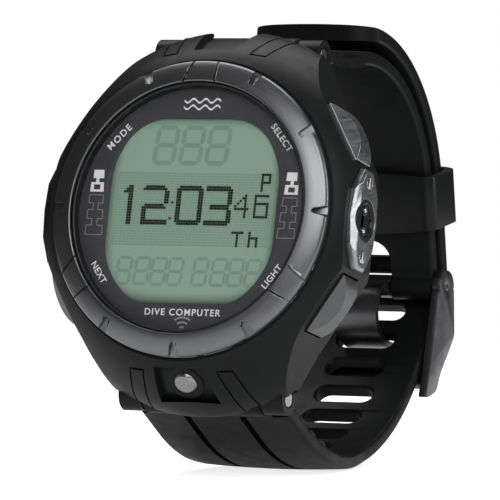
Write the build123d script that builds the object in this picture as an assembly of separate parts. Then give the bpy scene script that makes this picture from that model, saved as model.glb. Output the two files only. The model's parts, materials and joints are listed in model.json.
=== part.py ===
from build123d import *
import os
from math import acos, atan2, cos, degrees, hypot, radians, sin

# A wrist-worn dive computer standing on its closed strap. Millimetres, +Z up.
# +X is the 3 o'clock side, the face looks towards -Y and leans back by TILT.
# Case pieces are drawn in the face frame (x, v, n): x to 3 o'clock, v to 12 o'clock,
# n out of the dial, with n = 0 at the rim of the bezel. Strap pieces are drawn in (y, z).
# All pieces are moved together at the end, so that the origin lies on the floor under
# the middle of the whole object.

os.makedirs("parts", exist_ok=True)

# ---- driving dimensions ----
TILT = 13.9                 # lean of the face, degrees
BEZEL_R = 24.5
DIAL_R = 20.3               # crystal and dial mask
BEZEL_BORE_R = 20.85
SEAT_N = -1.3               # top of the case under the bezel and the dial
BEZEL_TOP_N = 1.3
CRYSTAL_TOP_N = 0.9
DIAL_THICK = 0.3
LEDGE_R = 19.0              # opening for the display
LEDGE_N = -2.3
CAVITY_R = 21.3
CASE_BOTTOM_N = -15.0
BACK_N = -17.0              # outer face of the case back
SIDE_X = 26.6               # side walls of the case
PAD_X = 28.0                # outer face of the side pads
PAD_N = -8.0                # height of the side pads and of the button axes

NOTCH_ANGLES = (24, 57, 90.5, 147, 180, 213, 269.5, 303, 336)
# engraved line pairs on the bezel: clock angle at the bore, clock angle at the rim
BEZEL_LINES = ((-8.8, -3.6), (7.8, 5.9), (115.6, 118.1), (130.1, 127.6), (-113.5, -118.2), (-130.2, -128.6))

BUTTON_ANGLE = 31           # from the 3 and 9 o'clock line, degrees
BUTTON_LENGTH = 10.8
BUTTON_DEPTH = 5.6
BUTTON_FACE_R = 29.4
BUTTON_BULGE = 1.8            # how far the face stands out in its middle
BUTTON_BACK_R = 26.0
BUTTON_TRAVEL = 1.2
STEM_R = 1.25
STEM_END_R = 20.6
POCKET_FLOOR_R = 24.6
FLAT_R = 27.2               # flats of the case around the buttons
FIT = 0.05                  # radial clearance of running fits

PIN_V = 28.5                # lug bars
PIN_N = -14.0
PIN_R = 0.9
EAR_IN_X = 10.8
EAR_OUT_X = 14.8
KNUCKLE_R = 3.0
LUG_GAP = 0.35

HATCH_R = 14.2
RING_IN_R = 11.4
RING_OUT_R = 16.5
RING_LUG_R = 17.1
RING_LUG_ANGLE = 30
CELL_R = 12.25
CELL_THICK = 3.0

STRAP_THICK = 2.6
TAIL_THICK = 2.8
LUG_THICK = 3.4
STRAP_HALF = 13.5           # half width at the lugs
TAIL_HALF = 11.5            # half width beyond the taper
TAPER_Y = (26.0, 44.0)      # the taper lies between these depths
LOOP_CENTRE = (45.0, -3.5)  # of the bend behind the wrist
SHORT_R = 27.3
TAIL_R = 31.7
LEAN = 8.0                  # lean of the straight run at the buckle, degrees
BAR_Z = -16.0
LOW_CENTRE = (37.5, -5.0)   # of the bend below the wrist
LOW_R = 38.6
CORNER_R = 8.0
TAIL_TIP_ANGLE = 86
SLOT_PITCH = 6.5
SLOT_SIZE = (10.5, 3.6)

BAR_R = 1.1
BAR_TIP_R = 0.6
ARM_IN_X = 12.0
ARM_OUT_X = 13.5
TONGUE_R = 10.37            # the tongue tip swings on this radius about the bar
TONGUE_THICK = 1.2
TONGUE_HALF = 4.0
HUB_HALF = 3.5
KEEPER_LENGTH = 10.6
KEEPER_WALL = 1.4
KEEPER_GAP = 0.45


# ---- helpers ----
FACE_FRAME = Location((0, 0, 0), (90 - TILT, 0, 0))
PIECES = {}


UPRIGHT = (Align.CENTER, Align.CENTER, Align.MIN)


def disc(radius, low, high, at=(0, 0)):
    return Pos(at[0], at[1], low) * Cylinder(radius, high - low, align=UPRIGHT)


def ring(outer, inner, low, high, at=(0, 0)):
    return disc(outer, low, high, at) - disc(inner, low - 1, high + 1, at)


def block(x, v, n):
    """A box from three (low, high) pairs."""
    size = [b - a for a, b in (x, v, n)]
    middle = [(a + b) / 2 for a, b in (x, v, n)]
    return Pos(*middle) * Box(*size)


def prism(points, low, high, round_off=0):
    """A polygon in the plane of the dial, raised from low to high."""
    face = make_face(Polyline(*points, close=True))
    if round_off:
        face = fillet(face.vertices(), round_off)
    return extrude(Pos(0, 0, low) * face, high - low)


def mirrored(points):
    """Points of the right half, from top to bottom, closed by their mirror image."""
    return list(points) + [(-x, v) for x, v in reversed(points)]


def clock(radius, angle):
    return radius * sin(radians(angle)), radius * cos(radians(angle))


def across(face, half):
    """A face drawn in (y, z), thickened by half to both sides of the middle plane."""
    return extrude(Plane.YZ * face, half, both=True)


def to_part(v, n):
    """(y, z) of a point of the middle plane given in the face frame."""
    tilt = radians(TILT)
    return v * sin(tilt) - n * cos(tilt), v * cos(tilt) + n * sin(tilt)


def tangent_angle(point, centre, radius, side):
    """Angle on a circle where the line from an outside point touches it."""
    dy, dz = point[0] - centre[0], point[1] - centre[1]
    return degrees(atan2(dz, dy)) + side * degrees(acos(radius / hypot(dy, dz)))


def polar(centre, radius, angle):
    return centre[0] + radius * cos(radians(angle)), centre[1] + radius * sin(radians(angle))


# ---- layout of the strap in (y, z) ----
UPPER_PIN = to_part(PIN_V, PIN_N)
LOWER_PIN = to_part(-PIN_V, PIN_N)
DOWN = (sin(radians(LEAN)), -cos(radians(LEAN)))      # along the straight run to the buckle
SHORT_END = polar(LOOP_CENTRE, SHORT_R, LEAN)
SHORT_RUN = (SHORT_END[1] - BAR_Z) / cos(radians(LEAN))
BAR = (SHORT_END[0] + DOWN[0] * SHORT_RUN, BAR_Z)
SHORT_TOP = tangent_angle(UPPER_PIN, LOOP_CENTRE, SHORT_R, -1)

# the long strap: tip, bend, straight run, corner, 45 degree run, low bend, run to the lug
TAIL_END = polar(LOOP_CENTRE, TAIL_R, LEAN)
RUN_45 = (-cos(radians(45)), -sin(radians(45)))
OUT_45 = (cos(radians(45)), -sin(radians(45)))
LOW_START = polar(LOW_CENTRE, LOW_R, -45)
gap_y, gap_z = LOW_START[0] - TAIL_END[0], LOW_START[1] - TAIL_END[1]
cross = DOWN[0] * RUN_45[1] - DOWN[1] * RUN_45[0]
TAIL_RUN = (gap_y * RUN_45[1] - gap_z * RUN_45[0]) / cross
CORNER = (TAIL_END[0] + DOWN[0] * TAIL_RUN, TAIL_END[1] + DOWN[1] * TAIL_RUN)
CORNER_TURN = 45 + LEAN
CORNER_CUT = CORNER_R * sin(radians(CORNER_TURN / 2)) / cos(radians(CORNER_TURN / 2))
CORNER_CENTRE = (
    CORNER[0] - DOWN[0] * CORNER_CUT - CORNER_R * cos(radians(LEAN)),
    CORNER[1] - DOWN[1] * CORNER_CUT - CORNER_R * sin(radians(LEAN)),
)
LOW_END = tangent_angle(LOWER_PIN, LOW_CENTRE, LOW_R, 1)


def at_buckle(t, w):
    """A point t along the 45 degree run from the strap's corner and w outwards from its middle."""
    return CORNER[0] + RUN_45[0] * t + OUT_45[0] * w, CORNER[1] + RUN_45[1] * t + OUT_45[1] * w


# where the tongue's circle about the bar crosses the middle of the strap
back_t = (BAR[0] - CORNER[0]) * RUN_45[0] + (BAR[1] - CORNER[1]) * RUN_45[1]
back_w = (BAR[0] - CORNER[0]) * OUT_45[0] + (BAR[1] - CORNER[1]) * OUT_45[1]
TONGUE_T = back_t + (TONGUE_R**2 - back_w**2) ** 0.5


def short_band(inside, outside):
    """Outline of the short strap between two offsets of its centre line (wrist side, outer side)."""
    normal = polar((0, 0), 1, SHORT_TOP)
    edges = []
    ends = []
    for off in (outside, -inside):
        lug = (UPPER_PIN[0] + normal[0] * off, UPPER_PIN[1] + normal[1] * off)
        a = polar(LOOP_CENTRE, SHORT_R + off, SHORT_TOP)
        b = polar(LOOP_CENTRE, SHORT_R + off, LEAN)
        end = (b[0] + DOWN[0] * SHORT_RUN, b[1] + DOWN[1] * SHORT_RUN)
        edges += [Line(lug, a), CenterArc(LOOP_CENTRE, SHORT_R + off, LEAN, SHORT_TOP - LEAN), Line(b, end)]
        ends.append((lug, end))
    edges += [Line(ends[0][0], ends[1][0]), Line(ends[0][1], ends[1][1])]
    return make_face(edges)


def long_band(inside, outside):
    """Outline of the long strap between two offsets of its centre line (wrist side, outer side)."""
    edges = []
    ends = []
    for off in (outside, -inside):
        tip = polar(LOOP_CENTRE, TAIL_R + off, TAIL_TIP_ANGLE)
        a = polar(LOOP_CENTRE, TAIL_R + off, LEAN)
        b = polar(CORNER_CENTRE, CORNER_R + off, LEAN)
        c = polar(CORNER_CENTRE, CORNER_R + off, -45)
        d = polar(LOW_CENTRE, LOW_R + off, -45)
        e = polar(LOW_CENTRE, LOW_R + off, LOW_END)
        normal = polar((0, 0), 1, LOW_END)
        lug = (LOWER_PIN[0] + normal[0] * off, LOWER_PIN[1] + normal[1] * off)
        edges += [
            CenterArc(LOOP_CENTRE, TAIL_R + off, LEAN, TAIL_TIP_ANGLE - LEAN),
            Line(a, b),
            CenterArc(CORNER_CENTRE, CORNER_R + off, -45, CORNER_TURN),
            Line(c, d),
            CenterArc(LOW_CENTRE, LOW_R + off, LOW_END, -45 - LOW_END),
            Line(e, lug),
        ]
        ends.append((tip, lug))
    edges += [Line(ends[0][0], ends[1][0]), Line(ends[0][1], ends[1][1])]
    return make_face(edges)


# ---- case ----
HOOD = ((25.0, SEAT_N), (27.2, -3.1), (29.4, -5.8), (31.2, -8.8), (32.2, -12.0))
HOOD_PANEL = ((6.6, 26.3), (9.2, 26.0), (11.4, 31.0), (8.4, 31.4))
LINE_DEPTH = 0.4
LINE_WIDTH = 0.3
LOWER_RECESS = ((4.4, -25.9), (5.4, -30.6))
UPPER_RECESS = ((5.4, 34.0), (3.6, 27.0))
RECESS_DEPTH = 1.3
EAR_R = 2.7
CONTACT_V, CONTACT_N = -28.0, -5.4
CONTACT_LEAN = 48           # between the contact's axis and the dial's
SCREW_AT = [(sx * 14.6, sv * 18.6) for sx in (1, -1) for sv in (1, -1)]
PORT_SCREW_V = 6.1


def hood_solid(lowered):
    """The round top of the case, sloping down over the lugs, lowered by a depth."""
    top = [(0, HOOD[0][1] - lowered)] + [(HOOD[0][0], HOOD[0][1] - lowered)]
    slope = Spline(*[(r - lowered * 0.7, n - lowered * 0.7) for r, n in HOOD])
    floor = slope @ 1
    outline = [
        Line(top[0], slope @ 0),
        slope,
        Line(floor, (floor.X, -20)),
        Line((floor.X, -20), (0, -20)),
        Line((0, -20), top[0]),
    ]
    return revolve(Plane.XZ * make_face(outline), Axis.Z)


def button_frame(side, up):
    """Frame of a button: its X axis points out of the case along the button's axis."""
    angle = BUTTON_ANGLE * up if side > 0 else 180 - BUTTON_ANGLE * up
    return Location((0, 0, PAD_N), (0, 0, angle))


def along_x(radius, low, high, v=0, n=PAD_N):
    return Pos(low, v, n) * Rot(0, 90, 0) * Cylinder(radius, high - low, align=UPRIGHT)


def button_holes():
    """What is cut for one button, in its own frame: bore, seal gland, spring well and pocket."""
    bore = along_x(STEM_R + FIT, 18, POCKET_FLOOR_R + 1, n=0)
    gland = along_x(2.2, 22.0, 23.0, n=0)
    well = along_x(2.5, 23.3, POCKET_FLOOR_R + 0.1, n=0)
    length, depth = BUTTON_LENGTH / 2 + 0.3, BUTTON_DEPTH / 2 + 0.3
    pocket = block((POCKET_FLOOR_R, 40), (-length, length), (-depth, depth))
    return bore + gland + well + pocket


BUTTONS = {"mode": (-1, 1), "select": (1, 1), "advance": (-1, -1), "light": (1, -1)}


def pad_outline(grow=0):
    half = [(0, 4.5), (4.5, 4.0), (8.25, 1.4)]
    points = half + [(v, -n) for v, n in reversed(half)] + [(-v, -n) for v, n in half[1:]]
    points += [(-v, n) for v, n in reversed(half[1:])]
    face = make_face(Polyline(*points, close=True))
    return offset(face, grow) if grow else face


def side_pad(side, low, high, grow=0):
    """The long six-sided pad of the case's side, from x = low to high."""
    face = Plane((low * side, 0, PAD_N), x_dir=(0, 1, 0), z_dir=(side, 0, 0)) * pad_outline(grow)
    return extrude(face, high - low, dir=(side, 0, 0))


def case_body():
    edge = [
        (15.0, 33.0),
        (15.4, 28.5),
        (19.1, 21.0),
        (26.4, 8.9),
        (SIDE_X, 7.4),
        (SIDE_X, -7.4),
        (26.4, -8.9),
        (19.1, -21.0),
        (15.4, -28.5),
        (15.0, -33.0),
    ]
    body = prism(mirrored(edge), CASE_BOTTOM_N, 0) & hood_solid(0)
    body = chamfer(body.faces().sort_by(Axis.Z)[0].edges(), 0.6)

    # engraved panels on both hoods and the recess of the wet contact
    skin = hood_solid(0) - hood_solid(LINE_DEPTH)
    for up in (1, -1):
        for side in (1, -1):
            corners = [(x * side, v * up) for x, v in HOOD_PANEL]
            face = make_face(Polyline(*corners, close=True))
            line = offset(face, LINE_WIDTH / 2) - offset(face, -LINE_WIDTH / 2)
            body -= extrude(Pos(0, 0, -20) * line, 20) & skin
    sunk = hood_solid(0) - hood_solid(RECESS_DEPTH)
    for recess in (LOWER_RECESS, UPPER_RECESS):
        body -= prism(mirrored(recess), -20, 0) & sunk
    body += contact_frame() * disc(3.1, -3.5, -0.25)

    for side in (1, -1):
        for up in (1, -1):
            centre = Pos(side * (EAR_IN_X + EAR_OUT_X) / 2, PIN_V * up, PIN_N) * Rot(0, 90, 0)
            body += centre * Cylinder(EAR_R, EAR_OUT_X - EAR_IN_X)
    body += side_pad(-1, SIDE_X - 0.5, PAD_X)

    # inside: cavity, display opening, bezel groove
    body -= disc(CAVITY_R, CASE_BOTTOM_N - 1, LEDGE_N)
    body -= disc(LEDGE_R, LEDGE_N - 1, 1)
    body -= ring(23.9, 23.1, SEAT_N - 1.1, 1)
    body -= ring(22.7, 21.9, CASE_BOTTOM_N - 1, CASE_BOTTOM_N + 0.7)
    for x, v in SCREW_AT:
        body -= disc(0.8, -20, -11, (x, v))

    # room for the knuckles of the straps, and the holes of the lug bars
    for up in (1, -1):
        room = Pos(0, PIN_V * up, PIN_N) * Rot(0, 90, 0) * Cylinder(KNUCKLE_R + LUG_GAP, 2 * EAR_IN_X)
        v_range = sorted((PIN_V * up, 40 * up))
        room += block((-EAR_IN_X, EAR_IN_X), v_range, (-25, PIN_N + 1.6))
        v_range = sorted(((PIN_V - KNUCKLE_R - LUG_GAP) * up, 40 * up))
        room += block((-EAR_IN_X, EAR_IN_X), v_range, (-25, PIN_N))
        body -= room
        body -= along_x(PIN_R, -20, 20, PIN_V * up, PIN_N)
        for side in (1, -1):
            body -= along_x(1.5, min(14.4 * side, 18 * side), max(14.4 * side, 18 * side), PIN_V * up, PIN_N)

    for side, up in BUTTONS.values():
        body -= button_frame(side, up) * button_holes()

    # 3 o'clock: contact port; 9 o'clock: pressure sensor behind three small holes
    body -= along_x(3.5, 26.1, 30)
    for v in (1.7, -1.7):
        body -= along_x(0.4, 20, 27, v)
    for v in (PORT_SCREW_V, -PORT_SCREW_V):
        body -= along_x(0.55, 24.0, 27, v)
    body -= along_x(2.35, -25.5, -20)
    for v in (-1.3, 0, 1.3):
        body -= along_x(0.4, -30, -25, v)
    body -= contact_frame() * (disc(0.9, -20, 1) + disc(2.1, -1.0, 1))
    return body


def contact_frame():
    """Frame of the wet contact: +Z points out of the lower hood."""
    return Location((0, CONTACT_V, CONTACT_N), (CONTACT_LEAN, 0, 0))


def bezel_ring():
    profile = [
        (BEZEL_BORE_R, SEAT_N),
        (BEZEL_BORE_R, 1.0),
        (21.1, BEZEL_TOP_N),
        (21.6, 1.2),
        (24.1, 0.25),
        (BEZEL_R, -0.15),
        (BEZEL_R, SEAT_N),
        (23.8, SEAT_N),
        (23.8, SEAT_N - 1.0),
        (23.2, SEAT_N - 1.0),
        (23.2, SEAT_N),
    ]
    body = revolve(Plane.XZ * make_face(Polyline(*profile, close=True)), Axis.Z)
    for angle in NOTCH_ANGLES:
        x, v = clock(23.6, angle)
        notch = disc(0.75, -0.25, 3) + block((-0.75, 0.75), (0, 4), (-0.25, 3))
        body -= Location((x, v, 0), (0, 0, -angle)) * notch
    for inner, outer in BEZEL_LINES:
        start, end = clock(BEZEL_BORE_R - 0.5, inner), clock(BEZEL_R + 0.5, outer)
        reach = hypot(end[0] - start[0], end[1] - start[1])
        turn = degrees(atan2(end[1] - start[1], end[0] - start[0]))
        # the groove follows the slope of the ring
        cutter = Location((start[0], start[1], 0), (0, 0, turn)) * Pos(reach / 2, 0, 1.05) * Rot(0, 19.5, 0)
        body -= cutter * Box(reach + 2, 0.3, 1.0)
    return body


def crystal():
    body = disc(DIAL_R, SEAT_N + DIAL_THICK, CRYSTAL_TOP_N)
    return chamfer(body.faces().sort_by(Axis.Z)[-1].edges(), 0.35)


def dial_mask():
    window = [
        (8.2, 15.0),
        (12.4, 12.3),
        (15.1, 7.0),
        (15.1, -7.8),
        (12.6, -12.4),
        (8.8, -15.6),
    ]
    hole = prism(mirrored(window), SEAT_N - 1, 1, round_off=2.5)
    return disc(DIAL_R, SEAT_N, SEAT_N + DIAL_THICK) - hole


def panel(half_x, half_v, radius, low, high):
    return block((-half_x, half_x), (-half_v, half_v), (low, high)) & disc(radius, low, high)


LCD = (16.0, 16.8, 18.7)    # half width, half height, corner radius about the centre
LCD_BACK_N = SEAT_N - 1.7
LIGHT_BACK_N = LCD_BACK_N - 0.9
BOARD_R = 19.3
BOARD_TOP_N = -5.5
BOARD_BACK_N = -6.5
CUP_TOP_N = -11.0


def display_carrier():
    grown = [size + 0.1 for size in LCD]
    body = disc(CAVITY_R - 0.1, BOARD_TOP_N, LEDGE_N)
    return body - panel(*grown, LIGHT_BACK_N, 0)


def circuit_board():
    """The board ends short of the button clips, which pass its edge when a button is pressed."""
    body = disc(BOARD_R, BOARD_BACK_N, BOARD_TOP_N)
    for key_angle in (0, 180):
        body -= disc(1.0, BOARD_BACK_N - 1, BOARD_TOP_N + 1, clock(BOARD_R, key_angle))
    return body


def board_chips():
    chips = block((-4.5, 4.5), (-6.5, 2.5), (BOARD_BACK_N - 1.2, BOARD_BACK_N))
    chips += block((7, 11.5), (-3, 2), (BOARD_BACK_N - 0.9, BOARD_BACK_N))
    chips += block((-11.5, -7.5), (-2, 2), (BOARD_BACK_N - 0.9, BOARD_BACK_N))
    chips += block((-1.6, 1.6), (-11.5, -10), (BOARD_BACK_N - 0.8, BOARD_BACK_N))
    return chips


def dome_switches():
    """A side-pressed switch on the board behind each button."""
    switches = []
    for side, up in BUTTONS.values():
        low, high = 16.0, STEM_END_R - BUTTON_TRAVEL - 0.05
        body = block((low, high), (-2.6, 2.6), (-1.4, BOARD_BACK_N - PAD_N))
        switches.append(button_frame(side, up) * body)
    return Compound(switches)


def antenna_coil():
    core = block((-5.5, 5.5), (14.0, 16.6), (BOARD_BACK_N - 2.6, BOARD_BACK_N))
    winding = block((-3.5, 3.5), (13.7, 16.9), (BOARD_BACK_N - 2.9, BOARD_BACK_N - 0.05))
    return core + winding


def buzzer():
    body = disc(4.5, BOARD_BACK_N - 2.4, BOARD_BACK_N, (0, 8.0))
    return body - disc(0.7, BOARD_BACK_N - 3, BOARD_BACK_N - 1.6, (0, 8.0))


def battery_cup():
    body = ring(13.9, CELL_R + 0.15, CASE_BOTTOM_N, CUP_TOP_N)
    body += disc(13.9, CUP_TOP_N - 0.8, CUP_TOP_N)
    body += ring(15.4, 13.5, CASE_BOTTOM_N, CASE_BOTTOM_N + 0.6)
    body -= block((12.2, 13.2), (-2.3, 2.3), (-16, -10))
    return body - block((-1.3, 1.3), (-0.3, 0.3), (-13, -10))


def battery_contacts():
    middle = block((-3, 3), (-1.5, 1.5), (-12.05, -11.85))
    middle += block((-1, 1), (-0.15, 0.15), (-11.9, BOARD_BACK_N - 1.2))
    rim = block((CELL_R + 0.1, CELL_R + 0.4), (-2, 2), (-14.4, BOARD_BACK_N))
    rim -= block((12, 13), (0.8, 3), (-10, -6))
    return Compound([middle, rim])


def battery_cell():
    body = disc(CELL_R, CELL_LOW, CELL_LOW + CELL_THICK)
    body = fillet(body.faces().sort_by(Axis.Z)[0].edges(), 0.5)
    return body - ring(CELL_R + 1, 11.2, CELL_LOW + CELL_THICK - 0.4, 0)


CELL_LOW = -15.1
HATCH_IN_N = -15.2
HATCH_STEP_N = -16.1


def battery_hatch():
    body = disc(HATCH_R, HATCH_STEP_N, HATCH_IN_N)
    body -= ring(HATCH_R + 1, 13.4, -15.9, -15.4)
    body += disc(RING_IN_R - 0.1, BACK_N, HATCH_STEP_N)
    return body - block((-5, 5), (-0.7, 0.7), (BACK_N - 1, BACK_N + 0.5))


def hatch_o_ring():
    return ring(HATCH_R + 0.1, 13.4, -15.88, -15.42)


def sector(radius, middle, width, low, high):
    """A slice of a disc around a direction."""
    left, right = radians(middle - width / 2), radians(middle + width / 2)
    far = radius * 3
    wedge = [(0, 0), (far * cos(left), far * sin(left)), (far * cos(right), far * sin(right))]
    return disc(radius, low, high) & prism(wedge, low, high)


def hatch_lock_ring():
    body = ring(RING_OUT_R, RING_IN_R, BACK_N, HATCH_STEP_N - 0.05)
    for middle in (90, 210, 330):
        lug = sector(RING_LUG_R, middle, RING_LUG_ANGLE, HATCH_STEP_N - 0.35, HATCH_STEP_N - 0.05)
        body += lug - disc(RING_IN_R, -20, 0)
    for middle in (0, 180):
        x, v = clock(14.0, middle)
        body -= disc(1.0, BACK_N - 1, BACK_N + 0.5, (x, v))
    return body


def case_back():
    body = disc(25.2, BACK_N, CASE_BOTTOM_N)
    body = chamfer(body.faces().sort_by(Axis.Z)[0].edges(), 0.5)
    body -= disc(HATCH_R + 0.1, -20, 0)
    body -= disc(RING_OUT_R + 0.1, -20, HATCH_STEP_N + 0.05)
    body -= disc(RING_LUG_R + 0.1, BACK_N + 0.45, HATCH_STEP_N + 0.05)
    for middle in (50, 170, 290):
        body -= sector(RING_LUG_R + 0.1, middle, RING_LUG_ANGLE + 4, -20, HATCH_STEP_N + 0.05)
    # room for the knuckles of the straps
    for up in (1, -1):
        for_knuckle = Pos(0, PIN_V * up, PIN_N) * Rot(0, 90, 0) * Cylinder(KNUCKLE_R + LUG_GAP + 0.6, 40)
        body -= for_knuckle
    for x, v in SCREW_AT:
        body -= disc(0.85, -20, 0, (x, v)) + disc(1.6, -20, BACK_N + 1.0, (x, v))
    return body


def case_back_gasket():
    return ring(22.7, 21.9, CASE_BOTTOM_N, CASE_BOTTOM_N + 0.6)


def case_back_screws():
    screws = []
    for x, v in SCREW_AT:
        screw = disc(1.5, BACK_N + 0.1, BACK_N + 1.0, (x, v)) + disc(0.8, BACK_N + 1.0, -11.2, (x, v))
        arms = ((1.0, 0.18), (0.18, 1.0))
        for half_x, half_v in arms:
            arm = block((-half_x, half_x), (-half_v, half_v), (-1, 0.45))
            screw -= Pos(x, v, BACK_N + 0.1) * arm
        screws.append(screw)
    return Compound(screws)


# ---- buttons, in their own frame: X out of the case, Y along the case's edge ----
SPRING_TURNS = 3
SPRING_WIRE = 0.2


def button_cap():
    half, deep = BUTTON_LENGTH / 2, BUTTON_DEPTH / 2
    shoulder = BUTTON_FACE_R - BUTTON_BULGE
    outline = [
        ThreePointArc((shoulder, -half), (BUTTON_FACE_R, 0), (shoulder, half)),
        Polyline((shoulder, half), (BUTTON_BACK_R, half), (BUTTON_BACK_R, -half), (shoulder, -half)),
    ]
    cap = extrude(make_face(outline), deep, both=True)
    # front bevel towards the bezel and a small one behind
    for turn, reach in ((1, 1.9), (-1, 0.8)):
        wedge = make_face(
            Polyline(
                (BUTTON_FACE_R + 1, (deep - reach - 1) * turn),
                (BUTTON_FACE_R + 1, (deep + 1) * turn),
                (BUTTON_FACE_R - reach - 1, (deep + 1) * turn),
                close=True,
            )
        )
        cap -= extrude(Plane.XZ * wedge, 20, both=True)
    cap -= along_x(2.5, BUTTON_BACK_R - 1, BUTTON_BACK_R + 1.1, n=0)
    stem = along_x(STEM_R, STEM_END_R, BUTTON_BACK_R + 1.2, n=0)
    stem -= along_x(2, 20.75, 21.1, n=0) - along_x(0.95, 20, 22, n=0)
    return cap + stem


def button_clip():
    clip = along_x(2.1, 20.78, 21.07, n=0) - along_x(0.97, 20, 22, n=0)
    return clip - block((20, 22), (0, 3), (-0.7, 0.7))


def button_spring():
    low, high = 23.3 + SPRING_WIRE, BUTTON_BACK_R + 1.1 - SPRING_WIRE
    coil_r = 1.8
    path = Helix(pitch=(high - low) / SPRING_TURNS, height=high - low, radius=coil_r)
    wire = sweep(Plane(origin=path @ 0, z_dir=path % 0) * Circle(SPRING_WIRE), path=path, is_frenet=True)
    return Pos(low, 0, 0) * Rot(0, 90, 0) * wire


def button_seal():
    return along_x(2.2, 22.0, 23.0, n=0) - along_x(STEM_R + FIT / 2, 21, 24, n=0)


# ---- side port ----
def port_plate():
    body = side_pad(1, SIDE_X, PAD_X)
    body = chamfer(body.faces().sort_by(Axis.X)[-1].edges(), 0.4)
    # crescent bevel on the edge nearest the dial
    bevel = [
        (PAD_X + 0.5, PAD_N + 1.6),
        (PAD_X + 0.5, PAD_N + 6),
        (SIDE_X + 0.6, PAD_N + 6),
        (SIDE_X + 0.6, PAD_N + 4.4),
    ]
    body -= extrude(Plane.XZ * make_face(Polyline(*bevel, close=True)), 15, both=True)
    body -= along_x(3.5, 20, 30)
    for v in (PORT_SCREW_V, -PORT_SCREW_V):
        body -= along_x(0.6, 20, 30, v) + along_x(1.1, PAD_X - 0.8, 30, v)
    return body


def port_insert():
    body = along_x(3.45, 26.1, PAD_X - 0.15)
    body -= along_x(2.7, PAD_X - 0.5, 30)
    for v in (1.7, -1.7):
        body += along_x(0.8, 27, PAD_X - 0.25, v)
        body -= along_x(0.42, 20, 30, v)
    return body


def port_pins():
    return Compound([fillet_tip(along_x(0.4, 21.0, PAD_X - 0.1, v)) for v in (1.7, -1.7)])


def fillet_tip(pin):
    return fillet(pin.faces().sort_by(Axis.X)[-1].edges(), 0.3)


def port_screws():
    screws = []
    for v in (PORT_SCREW_V, -PORT_SCREW_V):
        screw = along_x(1.0, PAD_X - 0.8, PAD_X - 0.05, v) + along_x(0.55, 24.1, PAD_X - 0.8, v)
        slot = block((PAD_X - 0.4, PAD_X + 1), (v - 1.2, v + 1.2), (PAD_N - 0.17, PAD_N + 0.17))
        screws.append(screw - slot)
    return Compound(screws)


def pressure_sensor():
    can = along_x(2.3, -25.4, -21.6)
    return can + along_x(1.4, -21.6, -18.6)


def wet_contact():
    head = chamfer(disc(2.05, -1.0, 0.3).faces().sort_by(Axis.Z)[-1].edges(), 0.5)
    return contact_frame() * (head + disc(0.88, -10.5, -1.0))


def lug_bar(up):
    bar = along_x(PIN_R - 0.02, -14.4, 14.4, PIN_V * up, PIN_N)
    for low, high in ((-14.75, -14.4), (14.4, 14.75)):
        bar += along_x(1.3, low, high, PIN_V * up, PIN_N)
    return bar


# ---- straps, drawn in (y, z) ----
GROOVES = 3
GROOVE_START = 7.5
GROOVE_PITCH = 4.7
GROOVE_HALF = 1.3
GROOVE_DEPTH = 1.2


GAP_HALF = 3.75             # the tongue's opening in the short strap, and its height over the bar
GAP_TOP = 4.5


def around(centre, radius, half):
    """A cylinder along X around a point of the (y, z) plane."""
    return Pos(0, *centre) * Rot(0, 90, 0) * Cylinder(radius, 2 * half)


def strap_plan():
    """Both straps seen from above: wide at the lugs, narrower behind the wrist."""
    y0, y1 = TAPER_Y
    points = [
        (STRAP_HALF, -20),
        (STRAP_HALF, y0),
        (TAIL_HALF, y1),
        (TAIL_HALF, 100),
        (-TAIL_HALF, 100),
        (-TAIL_HALF, y1),
        (-STRAP_HALF, y0),
        (-STRAP_HALF, -20),
    ]
    return extrude(Pos(0, 0, -60) * make_face(Polyline(*points, close=True)), 120)


def lug_end(strap, pin, angle, inward):
    """Thickens a strap at its lug, cuts the grip grooves and makes the knuckle around the bar.
    angle is the direction of the strap away from the lug, inward is +1 or -1 to the wrist side."""
    frame = Location((0, *pin), (angle, 0, 0))
    reach = 6.0 + GROOVES * GROOVE_PITCH
    low, high = sorted((inward * LUG_THICK / 2, 0))
    strap += frame * block((-STRAP_HALF, STRAP_HALF), (0, reach), (low, high))
    ridge = LUG_THICK / 2 * inward
    for k in range(GROOVES):
        s = GROOVE_START + k * GROOVE_PITCH
        root = (s, ridge - GROOVE_DEPTH * inward)
        corners = [(s - GROOVE_HALF, ridge * 1.01), (s + GROOVE_HALF, ridge * 1.01), root]
        groove = Plane.YZ * make_face(Polyline(*corners, close=True))
        strap -= frame * extrude(groove, 20, both=True)
    # between the ears the strap is only a knuckle
    knuckle_half = EAR_IN_X - 0.3
    for side in (1, -1):
        x = sorted((knuckle_half * side, 20 * side))
        strap -= frame * block(x, (-5, 4.3), (-6, 6))
    strap += around(pin, KNUCKLE_R, knuckle_half)
    return strap - around(pin, PIN_R, 20)


def upper_strap():
    half = STRAP_THICK / 2
    strap = across(short_band(half, half), STRAP_HALF)
    strap = lug_end(strap, UPPER_PIN, SHORT_TOP - 90, -1)
    # loop around the buckle bar, open in the middle for the tongue
    strap += around(BAR, 2.2, TAIL_HALF)
    strap &= strap_plan()
    strap -= around(BAR, BAR_R, 20)
    opening = block((-GAP_HALF, GAP_HALF), (-5, 5), (-5, GAP_TOP))
    opening += Pos(0, 0, GAP_TOP) * Rot(90, 0, 0) * Cylinder(GAP_HALF, 10)
    return strap - Location((0, *BAR), (LEAN, 0, 0)) * opening


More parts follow.
